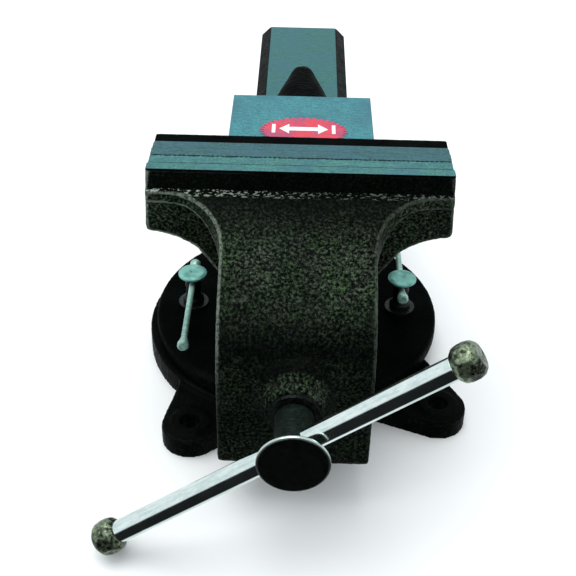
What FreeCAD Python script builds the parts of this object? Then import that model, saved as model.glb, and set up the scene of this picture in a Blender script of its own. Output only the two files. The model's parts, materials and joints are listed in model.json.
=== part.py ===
"""Heavy bench vise on a swivel base, with a rear anvil and a short horn.

Row frame, millimetres: the origin is on the bench plane, under the swivel axis. +Z is up,
-Y is the operator's side, and the jaws are drawn closed. Each piece is one node, written to
parts/NODE.step.
"""
import FreeCAD, Part
import math
import os
from FreeCAD import Vector as V

# ---------------------------------------------------------------- driving dimensions
JAW_WIDTH = 254.0            # 10 inch jaws
JAW_TOP = 262.0              # top of both jaws over the bench
JAW_PLANE_Y = -89.0          # where the closed jaws meet
JAW_FRONT_Y = -113.0         # front of the moving jaw's top band
REAR_LIP_Y = -66.5           # back of the fixed jaw's machined top
REAR_BACK_Y = -46.0          # back of the fixed jaw, where the anvil starts
REAR_DROP = 1.0              # the painted strip behind the machined top lies this much lower
WING_END_Z = 200.0           # underside of the wings at their ends
WING_ROOT_Z = 140.0          # the wings blend into the middle down to this height
INSERT_THICK = 12.0
INSERT_HEIGHT = 48.0
TOOTH_PITCH = 4.0
TOOTH_DEPTH = 1.0
CLOSED_GAP = 0.3             # between the tooth tips of the closed jaws

ANVIL_TOP = 250.0
ANVIL_HALF = 65.0
ANVIL_BACK_Y = 52.0
HORN_TIP_Y = 163.0

NECK_HALF = 64.0
NECK_FRONT_Y = -238.0
NECK_BOTTOM = 49.0
RIB_TOP = 243.0              # a rib crosses the wings under the plain top band
RIB_PROUD = 4.0
FRONT_WALL = 25.0            # wall that the spindle passes through
NECK_CORE_HALF = 47.0        # the neck is cored out from below
NECK_CORE_TOP = 176.0

SLIDE_HALF = 51.0
SLIDE_BOTTOM = 75.0
SLIDE_TOP = 177.0
SLIDE_BACK_Y = 395.0
SLIDE_CHAMFER_X = 11.5
SLIDE_CHAMFER_Z = 12.0
SLIDE_END_BEVEL = 3.0
CHANNEL_HALF = 34.0          # the slide is a channel, open below, around the screw
CHANNEL_TOP = 158.0
SLIDE_CLEAR = 0.3

SCREW_Z = 126.0
SCREW_R = 13.5
SCREW_END_Y = 240.0
SCREW_LEAD = 8.0
THREAD_DEPTH = 2.5
SHANK_R = 15.5
BOSS_R = 25.0
BOSS_FRONT_Y = -257.0
DISC_FRONT_Y = -314.0
DISC_R = 28.5
DISC_THICK = 4.5
RUN_CLEAR = 0.05             # radial clearance of the round running fits
HOLE_CLEAR = 0.4             # radial clearance of plain bolt holes

BAR_R = 9.5
BAR_BEHIND_DISC = 21.0
BAR_TILT = 35.7              # degrees, right end up
BAR_SPAN = 335.0             # between the knobs' centres
BAR_OFFSET = -16.0           # the bar has slid this far towards its lower end
KNOB_R = 14.8
KNOB_LENGTH = 22.0
SPIGOT_R = 7.0
SPIGOT_LENGTH = 15.0

BASE_R = 142.0
BASE_RIM_X = -7.0            # the rim is cast this far off the swivel's centre
BASE_HEIGHT = 24.0
EAR_HEIGHT = 20.0
EAR_PAD_R = 19.0
EAR_PAD_HEIGHT = 22.0
EAR_CENTRE_R = 182.0
EAR_R = 26.5
EAR_ROOT_R = 62.0            # an ear's sides are tangent to this circle and to its round end
EAR_ROOT_X = 78.0
EAR_ANGLES = (238.4, 318.0, 98.2)
BENCH_HOLE_R = 9.0
HUB_R = 30.0
HUB_TOP = 34.0
FLANGE_R = 142.0
FLANGE_BOTTOM = BASE_HEIGHT + 0.3
FLANGE_TOP = 41.0
STUD_R = 10.0

LOCK_X = 105.0
LOCK_SCREW_R = 6.0
LOCK_HEAD_TOP = 80.0
LOCK_HEAD_R = 14.3
LOCK_COLLAR_R = 10.5
LOCK_COLLAR_HEIGHT = 4.7
LOCK_NECK_R = 7.5
LOCK_EYE_R = 8.0             # the thicker part that the T-bar passes through
LOCK_EYE_REACH = 6.0
LOCK_WASHER_R = 15.0
LOCK_WASHER_THICK = 3.0
LOCK_BAR_Z = 69.0
LOCK_BAR_R = 3.0
LOCK_BAR_LENGTH = 138.0
LOCK_BAR_END_R = 5.5
LOCK_BAR_END_LENGTH = 12.0
LOCK_BAR_CAP = 2.0           # thickness of an end beyond the rod
SLOT_NECK_HALF = 7.5         # half width of the circular T-slot at its mouth
SLOT_WIDE_HALF = 14.0
SLOT_FLOOR = 8.0
SLOT_LEDGE = 16.0

HOUSING_HALF = 68.0
HOUSING_FRONT_Y = -82.0
HOUSING_BACK_Y = 125.0
HOUSING_TOP = 192.0
ANVIL_WALL = 24.0            # the anvil and the foot behind the pivot are cored out
ANVIL_CORE_HALF = 40.0
FOOT_CORE_HALF = 48.0
FOOT_CORE_TOP = 60.0

X_AXIS = V(1, 0, 0)
Y_AXIS = V(0, 1, 0)
Z_AXIS = V(0, 0, 1)


# ---------------------------------------------------------------- helpers
def box(x0, x1, y0, y1, z0, z1):
    return Part.makeBox(x1 - x0, y1 - y0, z1 - z0, V(x0, y0, z0))


def rod(radius, start, end):
    along = end - start
    return Part.makeCylinder(radius, along.Length, start, along)


def cone(start, r_start, end, r_end):
    along = end - start
    return Part.makeCone(r_start, r_end, along.Length, start, along)


def tube(r_in, r_out, start, end):
    return rod(r_out, start, end).cut(rod(r_in, start, end))


def fused(first, *others):
    """The union of the shapes as one clean solid."""
    return first.fuse(list(others)).removeSplitter()


def line(a, b):
    return Part.LineSegment(a, b).toShape()


def outline(points, place):
    """A face whose outline runs through points.

    A point is (u, v), reached by a straight run, or (u, v, um, vm), reached by an arc
    through (um, vm). place turns (u, v) into a position.
    """
    edges = []
    here = place(*points[-1][:2])
    for point in points:
        there = place(*point[:2])
        if len(point) == 4:
            edges.append(Part.Arc(here, place(*point[2:]), there).toShape())
        elif there.distanceToPoint(here) > 1e-6:
            edges.append(line(here, there))
        here = there
    return Part.Face(Part.Wire(edges))


def arc_middle(centre_u, centre_v, radius, degrees):
    """The point at an angle on an arc about a centre, for outline()."""
    turn = math.radians(degrees)
    return (centre_u + radius * math.cos(turn), centre_v + radius * math.sin(turn))


def side_prism(points, x0, x1):
    """An outline in (y, z), drawn out from x0 to x1."""
    return outline(points, lambda y, z: V(x0, y, z)).extrude(V(x1 - x0, 0, 0))


def front_prism(points, y0, y1):
    """An outline in (x, z), drawn out from y0 to y1."""
    return outline(points, lambda x, z: V(x, y0, z)).extrude(V(0, y1 - y0, 0))


def plan_prism(points, z0, z1):
    """An outline in (x, y), drawn up from z0 to z1."""
    return outline(points, lambda x, y: V(x, y, z0)).extrude(V(0, 0, z1 - z0))


def turned(points, origin, along):
    """A solid of revolution: points are (distance along the axis, radius)."""
    side = V(0, 0, 1) if abs(along.z) < 0.9 else V(1, 0, 0)
    side = (side - along * side.dot(along)).normalize()
    corners = [origin + along * d + side * r for d, r in points]
    corners.append(corners[0])
    return Part.Face(Part.makePolygon(corners)).revolve(origin, along, 360)


def mirrored_x(points):
    """An outline's right half, top to bottom, closed with its mirror image."""
    left = []
    for index in range(len(points) - 1, -1, -1):
        after = points[index + 1] if index + 1 < len(points) else None
        u, v = points[index][:2]
        if after is not None and len(after) == 4:
            left.append((-u, v, -after[2], after[3]))
        else:
            left.append((-u, v))
    return list(points) + left


def hexagon(across_flats, start, end):
    """A hexagonal prism from start to end."""
    along = (end - start).normalize()
    side = X_AXIS if abs(along.x) < 0.9 else Z_AXIS
    up = along.cross(side)
    radius = across_flats / math.sqrt(3)
    corners = []
    for step in range(7):
        turn = math.radians(60 * step)
        corners.append(start + side * (radius * math.cos(turn)) + up * (radius * math.sin(turn)))
    return Part.Face(Part.makePolygon(corners)).extrude(end - start)


def rounded(shape, radius, wanted):
    """Fillet the edges that wanted(edge) picks."""
    edges = [edge for edge in shape.Edges if wanted(edge)]
    return shape.makeFillet(radius, edges)


def group(solids):
    return Part.makeCompound(solids)


# ---------------------------------------------------------------- outlines shared by both jaws
HALF = JAW_WIDTH / 2
MOVING_FLARE_TOP = 1.5       # the moving jaw's ends stand out past the inserts by this at the top
MOVING_FLARE_END = 4.5       # and by this at the bottom


def moving_flare(z):
    share = (JAW_TOP - z) / (JAW_TOP - WING_END_Z)
    return MOVING_FLARE_TOP + (MOVING_FLARE_END - MOVING_FLARE_TOP) * share


def wing_outline(top_half, end_half, curve):
    """The wings in front view; curve is where their underside's arc ends and a point on it."""
    return mirrored_x([
        (top_half, JAW_TOP),
        (end_half, WING_END_Z + 4),
        (end_half - 4, WING_END_Z, end_half - 1.2, WING_END_Z + 1.2),
        curve,
        (NECK_HALF, 150.0),
    ])


FIXED_OUTLINE = wing_outline(HALF, HALF, (88.0, 180.0, 106.0, 193.5))
MOVING_OUTLINE = wing_outline(HALF + MOVING_FLARE_TOP, HALF + MOVING_FLARE_END, (88.0, 184.0, 108.0, 195.5))


def insert_plate(face_y, back_y):
    """A jaw insert whose face carries upright teeth."""
    inward = 1 if back_y > face_y else -1
    valley = face_y + inward * TOOTH_DEPTH
    teeth = int(JAW_WIDTH / TOOTH_PITCH)
    margin = (JAW_WIDTH - teeth * TOOTH_PITCH) / 2
    points = [(-HALF, back_y), (-HALF, valley)]
    for tooth in range(teeth):
        start = -HALF + margin + tooth * TOOTH_PITCH
        points.append((start + TOOTH_PITCH / 2, face_y))
        points.append((start + TOOTH_PITCH, valley))
    points.append((HALF, valley))
    points.append((HALF, back_y))
    plate = plan_prism(points, JAW_TOP - INSERT_HEIGHT, JAW_TOP)
    return plate.cut(group(insert_screw_holes(face_y, back_y)))


INSERT_SCREW_X = (-84.0, 0.0, 84.0)
INSERT_SCREW_Z = JAW_TOP - INSERT_HEIGHT / 2
INSERT_SCREW_R = 5.0
INSERT_HEAD_R = 9.0
INSERT_HEAD_HEIGHT = 6.0
INSERT_HEAD_SUNK = 2.0
INSERT_SCREW_LENGTH = 19.0
INSERT_SOCKET = 6.0
INSERT_SOCKET_DEPTH = 4.0


def insert_screw(x, face_y, back_y, socket):
    """A flat-headed socket screw through an insert, or the hole that it fills."""
    inward = V(0, 1 if back_y > face_y else -1, 0)
    top = V(x, face_y, INSERT_SCREW_Z) + inward * INSERT_HEAD_SUNK
    screw = cone(top, INSERT_HEAD_R, top + inward * INSERT_HEAD_HEIGHT, INSERT_SCREW_R)
    screw = fused(screw, rod(INSERT_SCREW_R, top, top + inward * INSERT_SCREW_LENGTH))
    if socket:
        return screw.cut(hexagon(INSERT_SOCKET, top, top + inward * INSERT_SOCKET_DEPTH))
    mouth = rod(INSERT_HEAD_R, V(x, face_y, INSERT_SCREW_Z) - inward, top)
    return fused(screw, mouth)


def insert_screws(face_y, back_y):
    return group([insert_screw(x, face_y, back_y, True) for x in INSERT_SCREW_X])


def insert_screw_holes(face_y, back_y):
    return [insert_screw(x, face_y, back_y, False) for x in INSERT_SCREW_X]


FRONT_FACE_Y = JAW_PLANE_Y - CLOSED_GAP / 2
REAR_FACE_Y = JAW_PLANE_Y + CLOSED_GAP / 2
FRONT_SEAT_Y = FRONT_FACE_Y - INSERT_THICK
REAR_SEAT_Y = REAR_FACE_Y + INSERT_THICK
SEAT_Z = JAW_TOP - INSERT_HEIGHT
RELIEF = 2.0                 # the castings stay this far behind the teeth


def insert_seat(seat_y, face_y):
    """The space that an insert fills in its casting, open at the top, front and ends."""
    reach = HALF + MOVING_FLARE_END + 1
    low, high = sorted((seat_y, face_y))
    return box(-reach, reach, low, high, SEAT_Z, JAW_TOP + 1)


# ---------------------------------------------------------------- base and pivot
def ear(angle):
    """One bolting ear, drawn towards +X and turned to its place."""
    spread = EAR_CENTRE_R - EAR_ROOT_X
    lean = math.acos((EAR_ROOT_R - EAR_R) / spread)
    root_x = EAR_ROOT_X + EAR_ROOT_R * math.cos(lean)
    root_y = EAR_ROOT_R * math.sin(lean)
    end_x = EAR_CENTRE_R + EAR_R * math.cos(lean)
    end_y = EAR_R * math.sin(lean)
    plan = [
        (root_x, -root_y),
        (end_x, -end_y),
        (end_x, end_y, EAR_CENTRE_R + EAR_R, 0),
        (root_x, root_y),
        (EAR_ROOT_X, 0),
    ]
    pad = rod(EAR_PAD_R, V(EAR_CENTRE_R, 0, 0), V(EAR_CENTRE_R, 0, EAR_PAD_HEIGHT))
    lug = fused(plan_prism(plan, 0, EAR_HEIGHT), pad)
    lug.rotate(V(0, 0, 0), Z_AXIS, angle)
    return lug


def bench_hole(angle):
    hole = rod(BENCH_HOLE_R, V(EAR_CENTRE_R, 0, -1), V(EAR_CENTRE_R, 0, EAR_PAD_HEIGHT + 1))
    hole.rotate(V(0, 0, 0), Z_AXIS, angle)
    return hole


def base_casting():
    disc = rod(BASE_R, V(BASE_RIM_X, 0, 0), V(BASE_RIM_X, 0, BASE_HEIGHT))
    hub = rod(HUB_R, V(0, 0, BASE_HEIGHT - 1), V(0, 0, HUB_TOP))
    body = fused(disc, hub, *[ear(angle) for angle in EAR_ANGLES])
    mouth = tube(LOCK_X - SLOT_NECK_HALF, LOCK_X + SLOT_NECK_HALF,
                 V(0, 0, SLOT_FLOOR), V(0, 0, BASE_HEIGHT + 1))
    wide = tube(LOCK_X - SLOT_WIDE_HALF, LOCK_X + SLOT_WIDE_HALF,
                V(0, 0, SLOT_FLOOR), V(0, 0, SLOT_LEDGE))
    entry = rod(SLOT_WIDE_HALF, V(0, LOCK_X, SLOT_FLOOR), V(0, LOCK_X, BASE_HEIGHT + 1))
    stud_hole = rod(STUD_R, V(0, 0, PIVOT_STUD_BOTTOM), V(0, 0, HUB_TOP + 1))
    cuts = [mouth, wide, entry, stud_hole] + [bench_hole(angle) for angle in EAR_ANGLES]
    return body.cut(cuts).removeSplitter()


PIVOT_STUD_BOTTOM = 6.0
PIVOT_STUD_TOP = 70.0
PIVOT_POCKET_FLOOR = 48.0
PIVOT_POCKET_R = 24.0
PIVOT_WASHER_THICK = 3.0
PIVOT_WASHER_R = 20.0
PIVOT_NUT_FLATS = 30.0
PIVOT_NUT_HEIGHT = 15.0
PIVOT_SEAT = PIVOT_POCKET_FLOOR + 0.1


def pivot_stud():
    top = PIVOT_STUD_TOP - PIVOT_STUD_BOTTOM
    chamfer = 2.0
    profile = [(0, 0), (0, STUD_R), (top - chamfer, STUD_R), (top, STUD_R - chamfer), (top, 0)]
    return turned(profile, V(0, 0, PIVOT_STUD_BOTTOM), Z_AXIS)


def pivot_washer():
    return tube(STUD_R, PIVOT_WASHER_R, V(0, 0, PIVOT_SEAT), V(0, 0, PIVOT_SEAT + PIVOT_WASHER_THICK))


def chamfered_nut(flats, bore_r, start, end):
    """A hexagonal nut with its corners turned off at both ends."""
    along = (end - start).normalize()
    length = (end - start).Length
    corner = flats / math.sqrt(3)
    turn_down = 0.6 * (corner - flats / 2)
    profile = [(0, 0), (0, flats / 2), (turn_down, corner),
               (length - turn_down, corner), (length, flats / 2), (length, 0)]
    nut = hexagon(flats, start, end).common(turned(profile, start, along))
    return nut.cut(rod(bore_r, start - along, end + along))


def pivot_nut():
    bottom = PIVOT_SEAT + PIVOT_WASHER_THICK
    return chamfered_nut(PIVOT_NUT_FLATS, STUD_R, V(0, 0, bottom), V(0, 0, bottom + PIVOT_NUT_HEIGHT))


# ---------------------------------------------------------------- fixed jaw
NUT_FRONT_Y = -78.0
NUT_BACK_Y = -26.0
NUT_HALF = 24.0
NUT_TOP = 147.0
NUT_SEAT = 60.0
NUT_ROUND = 10.0
NUT_BOLT_Y = (-65.0, -39.0)
NUT_BOLT_R = 6.0
NUT_BOLT_HEAD_R = 9.0
NUT_BOLT_HEAD_BOTTOM = 27.0
NUT_BOLT_HEAD_TOP = 39.0
NUT_BOLT_END = 84.0
NUT_BOLT_SOCKET = 10.0
NUT_BOLT_SOCKET_DEPTH = 6.0


def slide_section(clear):
    """The slide's outer outline, made larger all round by clear."""
    half = SLIDE_HALF + clear
    top = SLIDE_TOP + clear
    return mirrored_x([
        (half - SLIDE_CHAMFER_X, top),
        (half, top - SLIDE_CHAMFER_Z),
        (half, SLIDE_BOTTOM - clear),
    ])


HORN_SECTIONS = (            # y, half width, underside, top
    (ANVIL_BACK_Y - 6, 38.0, 190.0, 240.0),
    (68.0, 33.5, 196.0, 239.2),
    (84.0, 29.5, 200.0, 238.6),
    (100.0, 25.3, 204.0, 237.8),
    (120.0, 20.0, 208.0, 236.6),
    (140.0, 14.6, 212.0, 235.2),
    (156.0, 10.2, 216.5, 233.2),
    (HORN_TIP_Y, 6.5, 220.5, 230.0),
)
HORN_SQUARENESS = 2.6        # 2 gives an ellipse, more gives a flatter top and sides
HORN_CORNERS = 24


def rounded_section(y, half, bottom, top):
    """A closed smooth outline in a plane across Y, between an oval and a rectangle."""
    corners = []
    for index in range(HORN_CORNERS):
        turn = 2 * math.pi * index / HORN_CORNERS
        flat = 2 / HORN_SQUARENESS
        across = math.copysign(abs(math.cos(turn)) ** flat, math.cos(turn))
        upward = math.copysign(abs(math.sin(turn)) ** flat, math.sin(turn))
        corners.append(V(half * across, y, (top + bottom) / 2 + (top - bottom) / 2 * upward))
    curve = Part.BSplineCurve()
    curve.interpolate(Points=corners, PeriodicFlag=True)
    return Part.Wire([curve.toShape()])


def horn():
    """The short painted horn, which narrows to a blunt tip."""
    return Part.makeLoft([rounded_section(*section) for section in HORN_SECTIONS], True)


def fixed_jaw_casting():
    chamfer = 1.5
    shoulder = 4.0
    flange = turned([
        (FLANGE_BOTTOM, 0),
        (FLANGE_BOTTOM, FLANGE_R - chamfer),
        (FLANGE_BOTTOM + chamfer, FLANGE_R),
        (FLANGE_TOP - shoulder, FLANGE_R),
        (FLANGE_TOP - 0.3 * shoulder, FLANGE_R - 0.3 * shoulder),
        (FLANGE_TOP, FLANGE_R - shoulder),
        (FLANGE_TOP, 0),
    ], V(0, 0, 0), Z_AXIS)
    lean = 5.0
    crown = 8.0
    crown_y = HOUSING_BACK_Y - lean - crown
    housing = side_prism([
        (HOUSING_FRONT_Y, FLANGE_BOTTOM + 2),
        (HOUSING_BACK_Y, FLANGE_BOTTOM + 2),
        (HOUSING_BACK_Y - lean, HOUSING_TOP - crown),
        (crown_y, HOUSING_TOP, *arc_middle(crown_y, HOUSING_TOP - crown, crown, 45)),
        (HOUSING_FRONT_Y, HOUSING_TOP),
    ], -HOUSING_HALF, HOUSING_HALF)
    throat = 32.0            # the anvil's back runs into the housing's top in this radius
    throat_y = ANVIL_BACK_Y + throat
    throat_z = HOUSING_TOP + throat
    anvil = side_prism([
        (HOUSING_FRONT_Y, HOUSING_TOP - crown),
        (throat_y, HOUSING_TOP - crown),
        (throat_y, HOUSING_TOP),
        (ANVIL_BACK_Y, throat_z, *arc_middle(throat_y, throat_z, throat, 225)),
        (ANVIL_BACK_Y, ANVIL_TOP),
        (HOUSING_FRONT_Y, ANVIL_TOP),
    ], -ANVIL_HALF, ANVIL_HALF)
    edge = 5.0
    edge_z = JAW_TOP - REAR_DROP
    wing_side = side_prism([
        (REAR_FACE_Y + RELIEF, WING_ROOT_Z),
        (REAR_BACK_Y + 2, WING_ROOT_Z),
        (REAR_BACK_Y + 6, WING_END_Z - 4),
        (REAR_BACK_Y, ANVIL_TOP - 10),
        (REAR_BACK_Y, edge_z - edge),
        (REAR_BACK_Y - edge, edge_z, *arc_middle(REAR_BACK_Y - edge, edge_z - edge, edge, 45)),
        (REAR_LIP_Y + REAR_DROP, edge_z),
        (REAR_LIP_Y, JAW_TOP),
        (REAR_FACE_Y + RELIEF, JAW_TOP),
    ], -HALF, HALF)
    wings = wing_side.common(front_prism(FIXED_OUTLINE, REAR_FACE_Y, -30.0))
    body = fused(flange, housing, anvil, wings, horn())

    tunnel = front_prism(slide_section(SLIDE_CLEAR), REAR_FACE_Y - 40, HOUSING_BACK_Y + 20)
    hub_recess = rod(HUB_R + RUN_CLEAR, V(0, 0, FLANGE_BOTTOM - 1), V(0, 0, HUB_TOP + SLIDE_CLEAR))
    stud_bore = rod(STUD_R + HOLE_CLEAR, V(0, 0, FLANGE_BOTTOM), V(0, 0, SLIDE_BOTTOM))
    pocket = rod(PIVOT_POCKET_R, V(0, 0, PIVOT_POCKET_FLOOR), V(0, 0, SLIDE_BOTTOM))
    nut_seat = box(-NUT_HALF, NUT_HALF, NUT_FRONT_Y, NUT_BACK_Y, NUT_SEAT, SLIDE_BOTTOM)
    anvil_core = box(-ANVIL_CORE_HALF, ANVIL_CORE_HALF, REAR_BACK_Y, ANVIL_BACK_Y - ANVIL_WALL,
                     SLIDE_TOP, ANVIL_TOP - ANVIL_WALL)
    foot_core = box(-FOOT_CORE_HALF, FOOT_CORE_HALF, PIVOT_POCKET_R + ANVIL_WALL,
                    HOUSING_BACK_Y - ANVIL_WALL, FLANGE_BOTTOM - 1, FOOT_CORE_TOP)
    seat = insert_seat(REAR_SEAT_Y, REAR_FACE_Y)
    cuts = [tunnel, hub_recess, stud_bore, pocket, nut_seat, anvil_core, foot_core, seat]
    for y in NUT_BOLT_Y:
        cuts.append(rod(NUT_BOLT_HEAD_R + HOLE_CLEAR, V(0, y, FLANGE_BOTTOM - 1), V(0, y, NUT_BOLT_HEAD_TOP)))
        cuts.append(rod(NUT_BOLT_R, V(0, y, NUT_BOLT_HEAD_TOP - 1), V(0, y, NUT_SEAT + 1)))
    for x in (-LOCK_X, LOCK_X):
        cuts.append(rod(LOCK_SCREW_R + HOLE_CLEAR, V(x, 0, FLANGE_BOTTOM - 1), V(x, 0, FLANGE_TOP + 1)))
    cuts += insert_screw_holes(REAR_FACE_Y, REAR_SEAT_Y)
    return body.cut(cuts).removeSplitter()


def spindle_nut():
    block = box(-NUT_HALF, NUT_HALF, NUT_FRONT_Y, NUT_BACK_Y, NUT_SEAT, NUT_TOP)
    block = rounded(block, NUT_ROUND, lambda e: e.BoundBox.ZMin > NUT_TOP - 1
                    and e.BoundBox.YLength > NUT_BACK_Y - NUT_FRONT_Y - 1)
    bore = rod(SCREW_R + RUN_CLEAR, V(0, NUT_FRONT_Y - 1, SCREW_Z), V(0, NUT_BACK_Y + 1, SCREW_Z))
    holes = [rod(NUT_BOLT_R, V(0, y, NUT_SEAT - 1), V(0, y, NUT_BOLT_END)) for y in NUT_BOLT_Y]
    return block.cut([bore] + holes)


def nut_bolt(y):
    head = rod(NUT_BOLT_HEAD_R, V(0, y, NUT_BOLT_HEAD_BOTTOM), V(0, y, NUT_BOLT_HEAD_TOP))
    shank = rod(NUT_BOLT_R, V(0, y, NUT_BOLT_HEAD_TOP - 1), V(0, y, NUT_BOLT_END))
    socket = hexagon(NUT_BOLT_SOCKET, V(0, y, NUT_BOLT_HEAD_BOTTOM),
                     V(0, y, NUT_BOLT_HEAD_BOTTOM + NUT_BOLT_SOCKET_DEPTH))
    return fused(head, shank).cut(socket)


BADGE_HALF_X = 39.5
BADGE_HALF_Y = 26.0
BADGE_X = 2.0
BADGE_Y = -18.0
BADGE_THICK = 0.5


def size_badge():
    """A thin oval plate on the anvil's top, tight behind the fixed jaw."""
    rim = Part.Ellipse(V(BADGE_X, BADGE_Y, ANVIL_TOP), BADGE_HALF_X, BADGE_HALF_Y)
    return Part.Face(Part.Wire([rim.toShape()])).extrude(V(0, 0, BADGE_THICK))


# ---------------------------------------------------------------- swivel locks
def at_locks(make):
    return group([make(-LOCK_X), make(LOCK_X)])


def lock_t_nut(x):
    """A T-nut in the base's circular slot."""
    reach = SLOT_WIDE_HALF - 1.0
    block = box(x - reach, x + reach, -reach, reach, SLOT_FLOOR + 0.3, SLOT_LEDGE - 0.3)
    ring = tube(LOCK_X - reach, LOCK_X + reach, V(0, 0, 0), V(0, 0, BASE_HEIGHT))
    bore = rod(LOCK_SCREW_R + RUN_CLEAR, V(x, 0, 0), V(x, 0, BASE_HEIGHT))
    return block.common(ring).cut(bore)


def lock_washer(x):
    return tube(LOCK_SCREW_R + HOLE_CLEAR, LOCK_WASHER_R,
                V(x, 0, FLANGE_TOP), V(x, 0, FLANGE_TOP + LOCK_WASHER_THICK))


def lock_screw(x):
    """A swivel lock screw: thread, collar, cross-drilled neck and mushroom head."""
    tip = SLOT_FLOOR + 2 * SLIDE_CLEAR
    seat = FLANGE_TOP + LOCK_WASHER_THICK + SLIDE_CLEAR
    collar_top = seat + LOCK_COLLAR_HEIGHT
    profile = [
        (tip, 0),
        (tip, LOCK_SCREW_R),
        (seat, LOCK_SCREW_R),
        (seat, LOCK_COLLAR_R),
        (collar_top, LOCK_COLLAR_R),
        (collar_top + 2.0, LOCK_NECK_R),
        (LOCK_BAR_Z - LOCK_EYE_REACH - 1.0, LOCK_NECK_R),
        (LOCK_BAR_Z - LOCK_EYE_REACH, LOCK_EYE_R),
        (LOCK_BAR_Z + LOCK_EYE_REACH, LOCK_EYE_R),
        (LOCK_HEAD_TOP - 4.0, LOCK_HEAD_R - 0.8),
        (LOCK_HEAD_TOP - 3.2, LOCK_HEAD_R),
        (LOCK_HEAD_TOP - 1.4, LOCK_HEAD_R),
        (LOCK_HEAD_TOP, LOCK_HEAD_R - 3.5),
        (LOCK_HEAD_TOP, 0),
    ]
    body = turned(profile, V(x, 0, 0), Z_AXIS)
    reach = 2 * LOCK_EYE_R
    hole = rod(LOCK_BAR_R + 0.1, V(x, -reach, LOCK_BAR_Z), V(x, reach, LOCK_BAR_Z))
    dimple = cone(V(x, 0, LOCK_HEAD_TOP), 1.8, V(x, 0, LOCK_HEAD_TOP - 1.2), 0.4)
    return body.cut([hole, dimple])


def lock_bar(x, middle_y):
    """The plain rod of a lock screw's T-bar."""
    reach = LOCK_BAR_LENGTH / 2 - LOCK_BAR_CAP
    return rod(LOCK_BAR_R, V(x, middle_y - reach, LOCK_BAR_Z), V(x, middle_y + reach, LOCK_BAR_Z))


def lock_bar_ends(x, middle_y):
    """The two flared ends, pressed on the rod."""
    ends = []
    for side in (-1, 1):
        tip = V(x, middle_y + side * LOCK_BAR_LENGTH / 2, LOCK_BAR_Z)
        inward = V(0, -side, 0)
        chamfer = 1.2
        profile = [(0, 0), (0, LOCK_BAR_END_R - chamfer), (chamfer, LOCK_BAR_END_R)]
        profile.append((0.4 * LOCK_BAR_END_LENGTH, LOCK_BAR_END_R))
        profile.append((LOCK_BAR_END_LENGTH, LOCK_BAR_R + 0.8))
        profile.append((LOCK_BAR_END_LENGTH, 0))
        bore = rod(LOCK_BAR_R, tip + inward * LOCK_BAR_CAP, tip + inward * (LOCK_BAR_END_LENGTH + 1))
        ends.append(turned(profile, tip, inward).cut(bore))
    return group(ends)


LEFT_BAR_Y = -38.0           # the left bar has slid to the front
RIGHT_BAR_Y = 44.0           # the right bar has slid to the back


# ---------------------------------------------------------------- moving jaw
def neck_block():
    """The neck: a side profile, flared into the wings in front view and in plan."""
    toe = 8.0
    shoulder = (-207.0, 198.0)
    brow_r = 76.8
    brow_centre = (NECK_FRONT_Y + brow_r, 136.4)
    side = side_prism([
        (FRONT_FACE_Y - RELIEF, JAW_TOP - 40),
        (JAW_FRONT_Y, JAW_TOP - 40),
        (JAW_FRONT_Y, RIB_TOP),
        (JAW_FRONT_Y - RIB_PROUD, RIB_TOP),
        (*shoulder, -163.5, 225.0),
        (NECK_FRONT_Y, brow_centre[1], *arc_middle(*brow_centre, brow_r, 153.3)),
        (NECK_FRONT_Y, NECK_BOTTOM + toe),
        (NECK_FRONT_Y + toe, NECK_BOTTOM,
         *arc_middle(NECK_FRONT_Y + toe, NECK_BOTTOM + toe, toe, 225)),
        (FRONT_FACE_Y - RELIEF, NECK_BOTTOM),
    ], -HALF - MOVING_FLARE_END, HALF + MOVING_FLARE_END)
    drop = 40.0
    rib_bottom = RIB_TOP - 12.0
    front = front_prism(mirrored_x([
        (HALF + moving_flare(RIB_TOP), RIB_TOP),
        (HALF + moving_flare(rib_bottom), rib_bottom),
        (NECK_HALF + drop, rib_bottom),
        (NECK_HALF, rib_bottom - drop,
         *arc_middle(NECK_HALF + drop, rib_bottom - drop, drop, 135)),
        (NECK_HALF, NECK_BOTTOM),
    ]), NECK_FRONT_Y, 0)
    sweep = 53.0
    rib_y = JAW_FRONT_Y - RIB_PROUD
    plan = plan_prism(mirrored_x([
        (HALF + MOVING_FLARE_END, FRONT_FACE_Y - RELIEF),
        (HALF + MOVING_FLARE_END, rib_y),
        (NECK_HALF + sweep, rib_y),
        (NECK_HALF, rib_y - sweep, *arc_middle(NECK_HALF + sweep, rib_y - sweep, sweep, 135)),
        (NECK_HALF, NECK_FRONT_Y),
    ]), NECK_BOTTOM, JAW_TOP)
    return side.common(front).common(plan)


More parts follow.
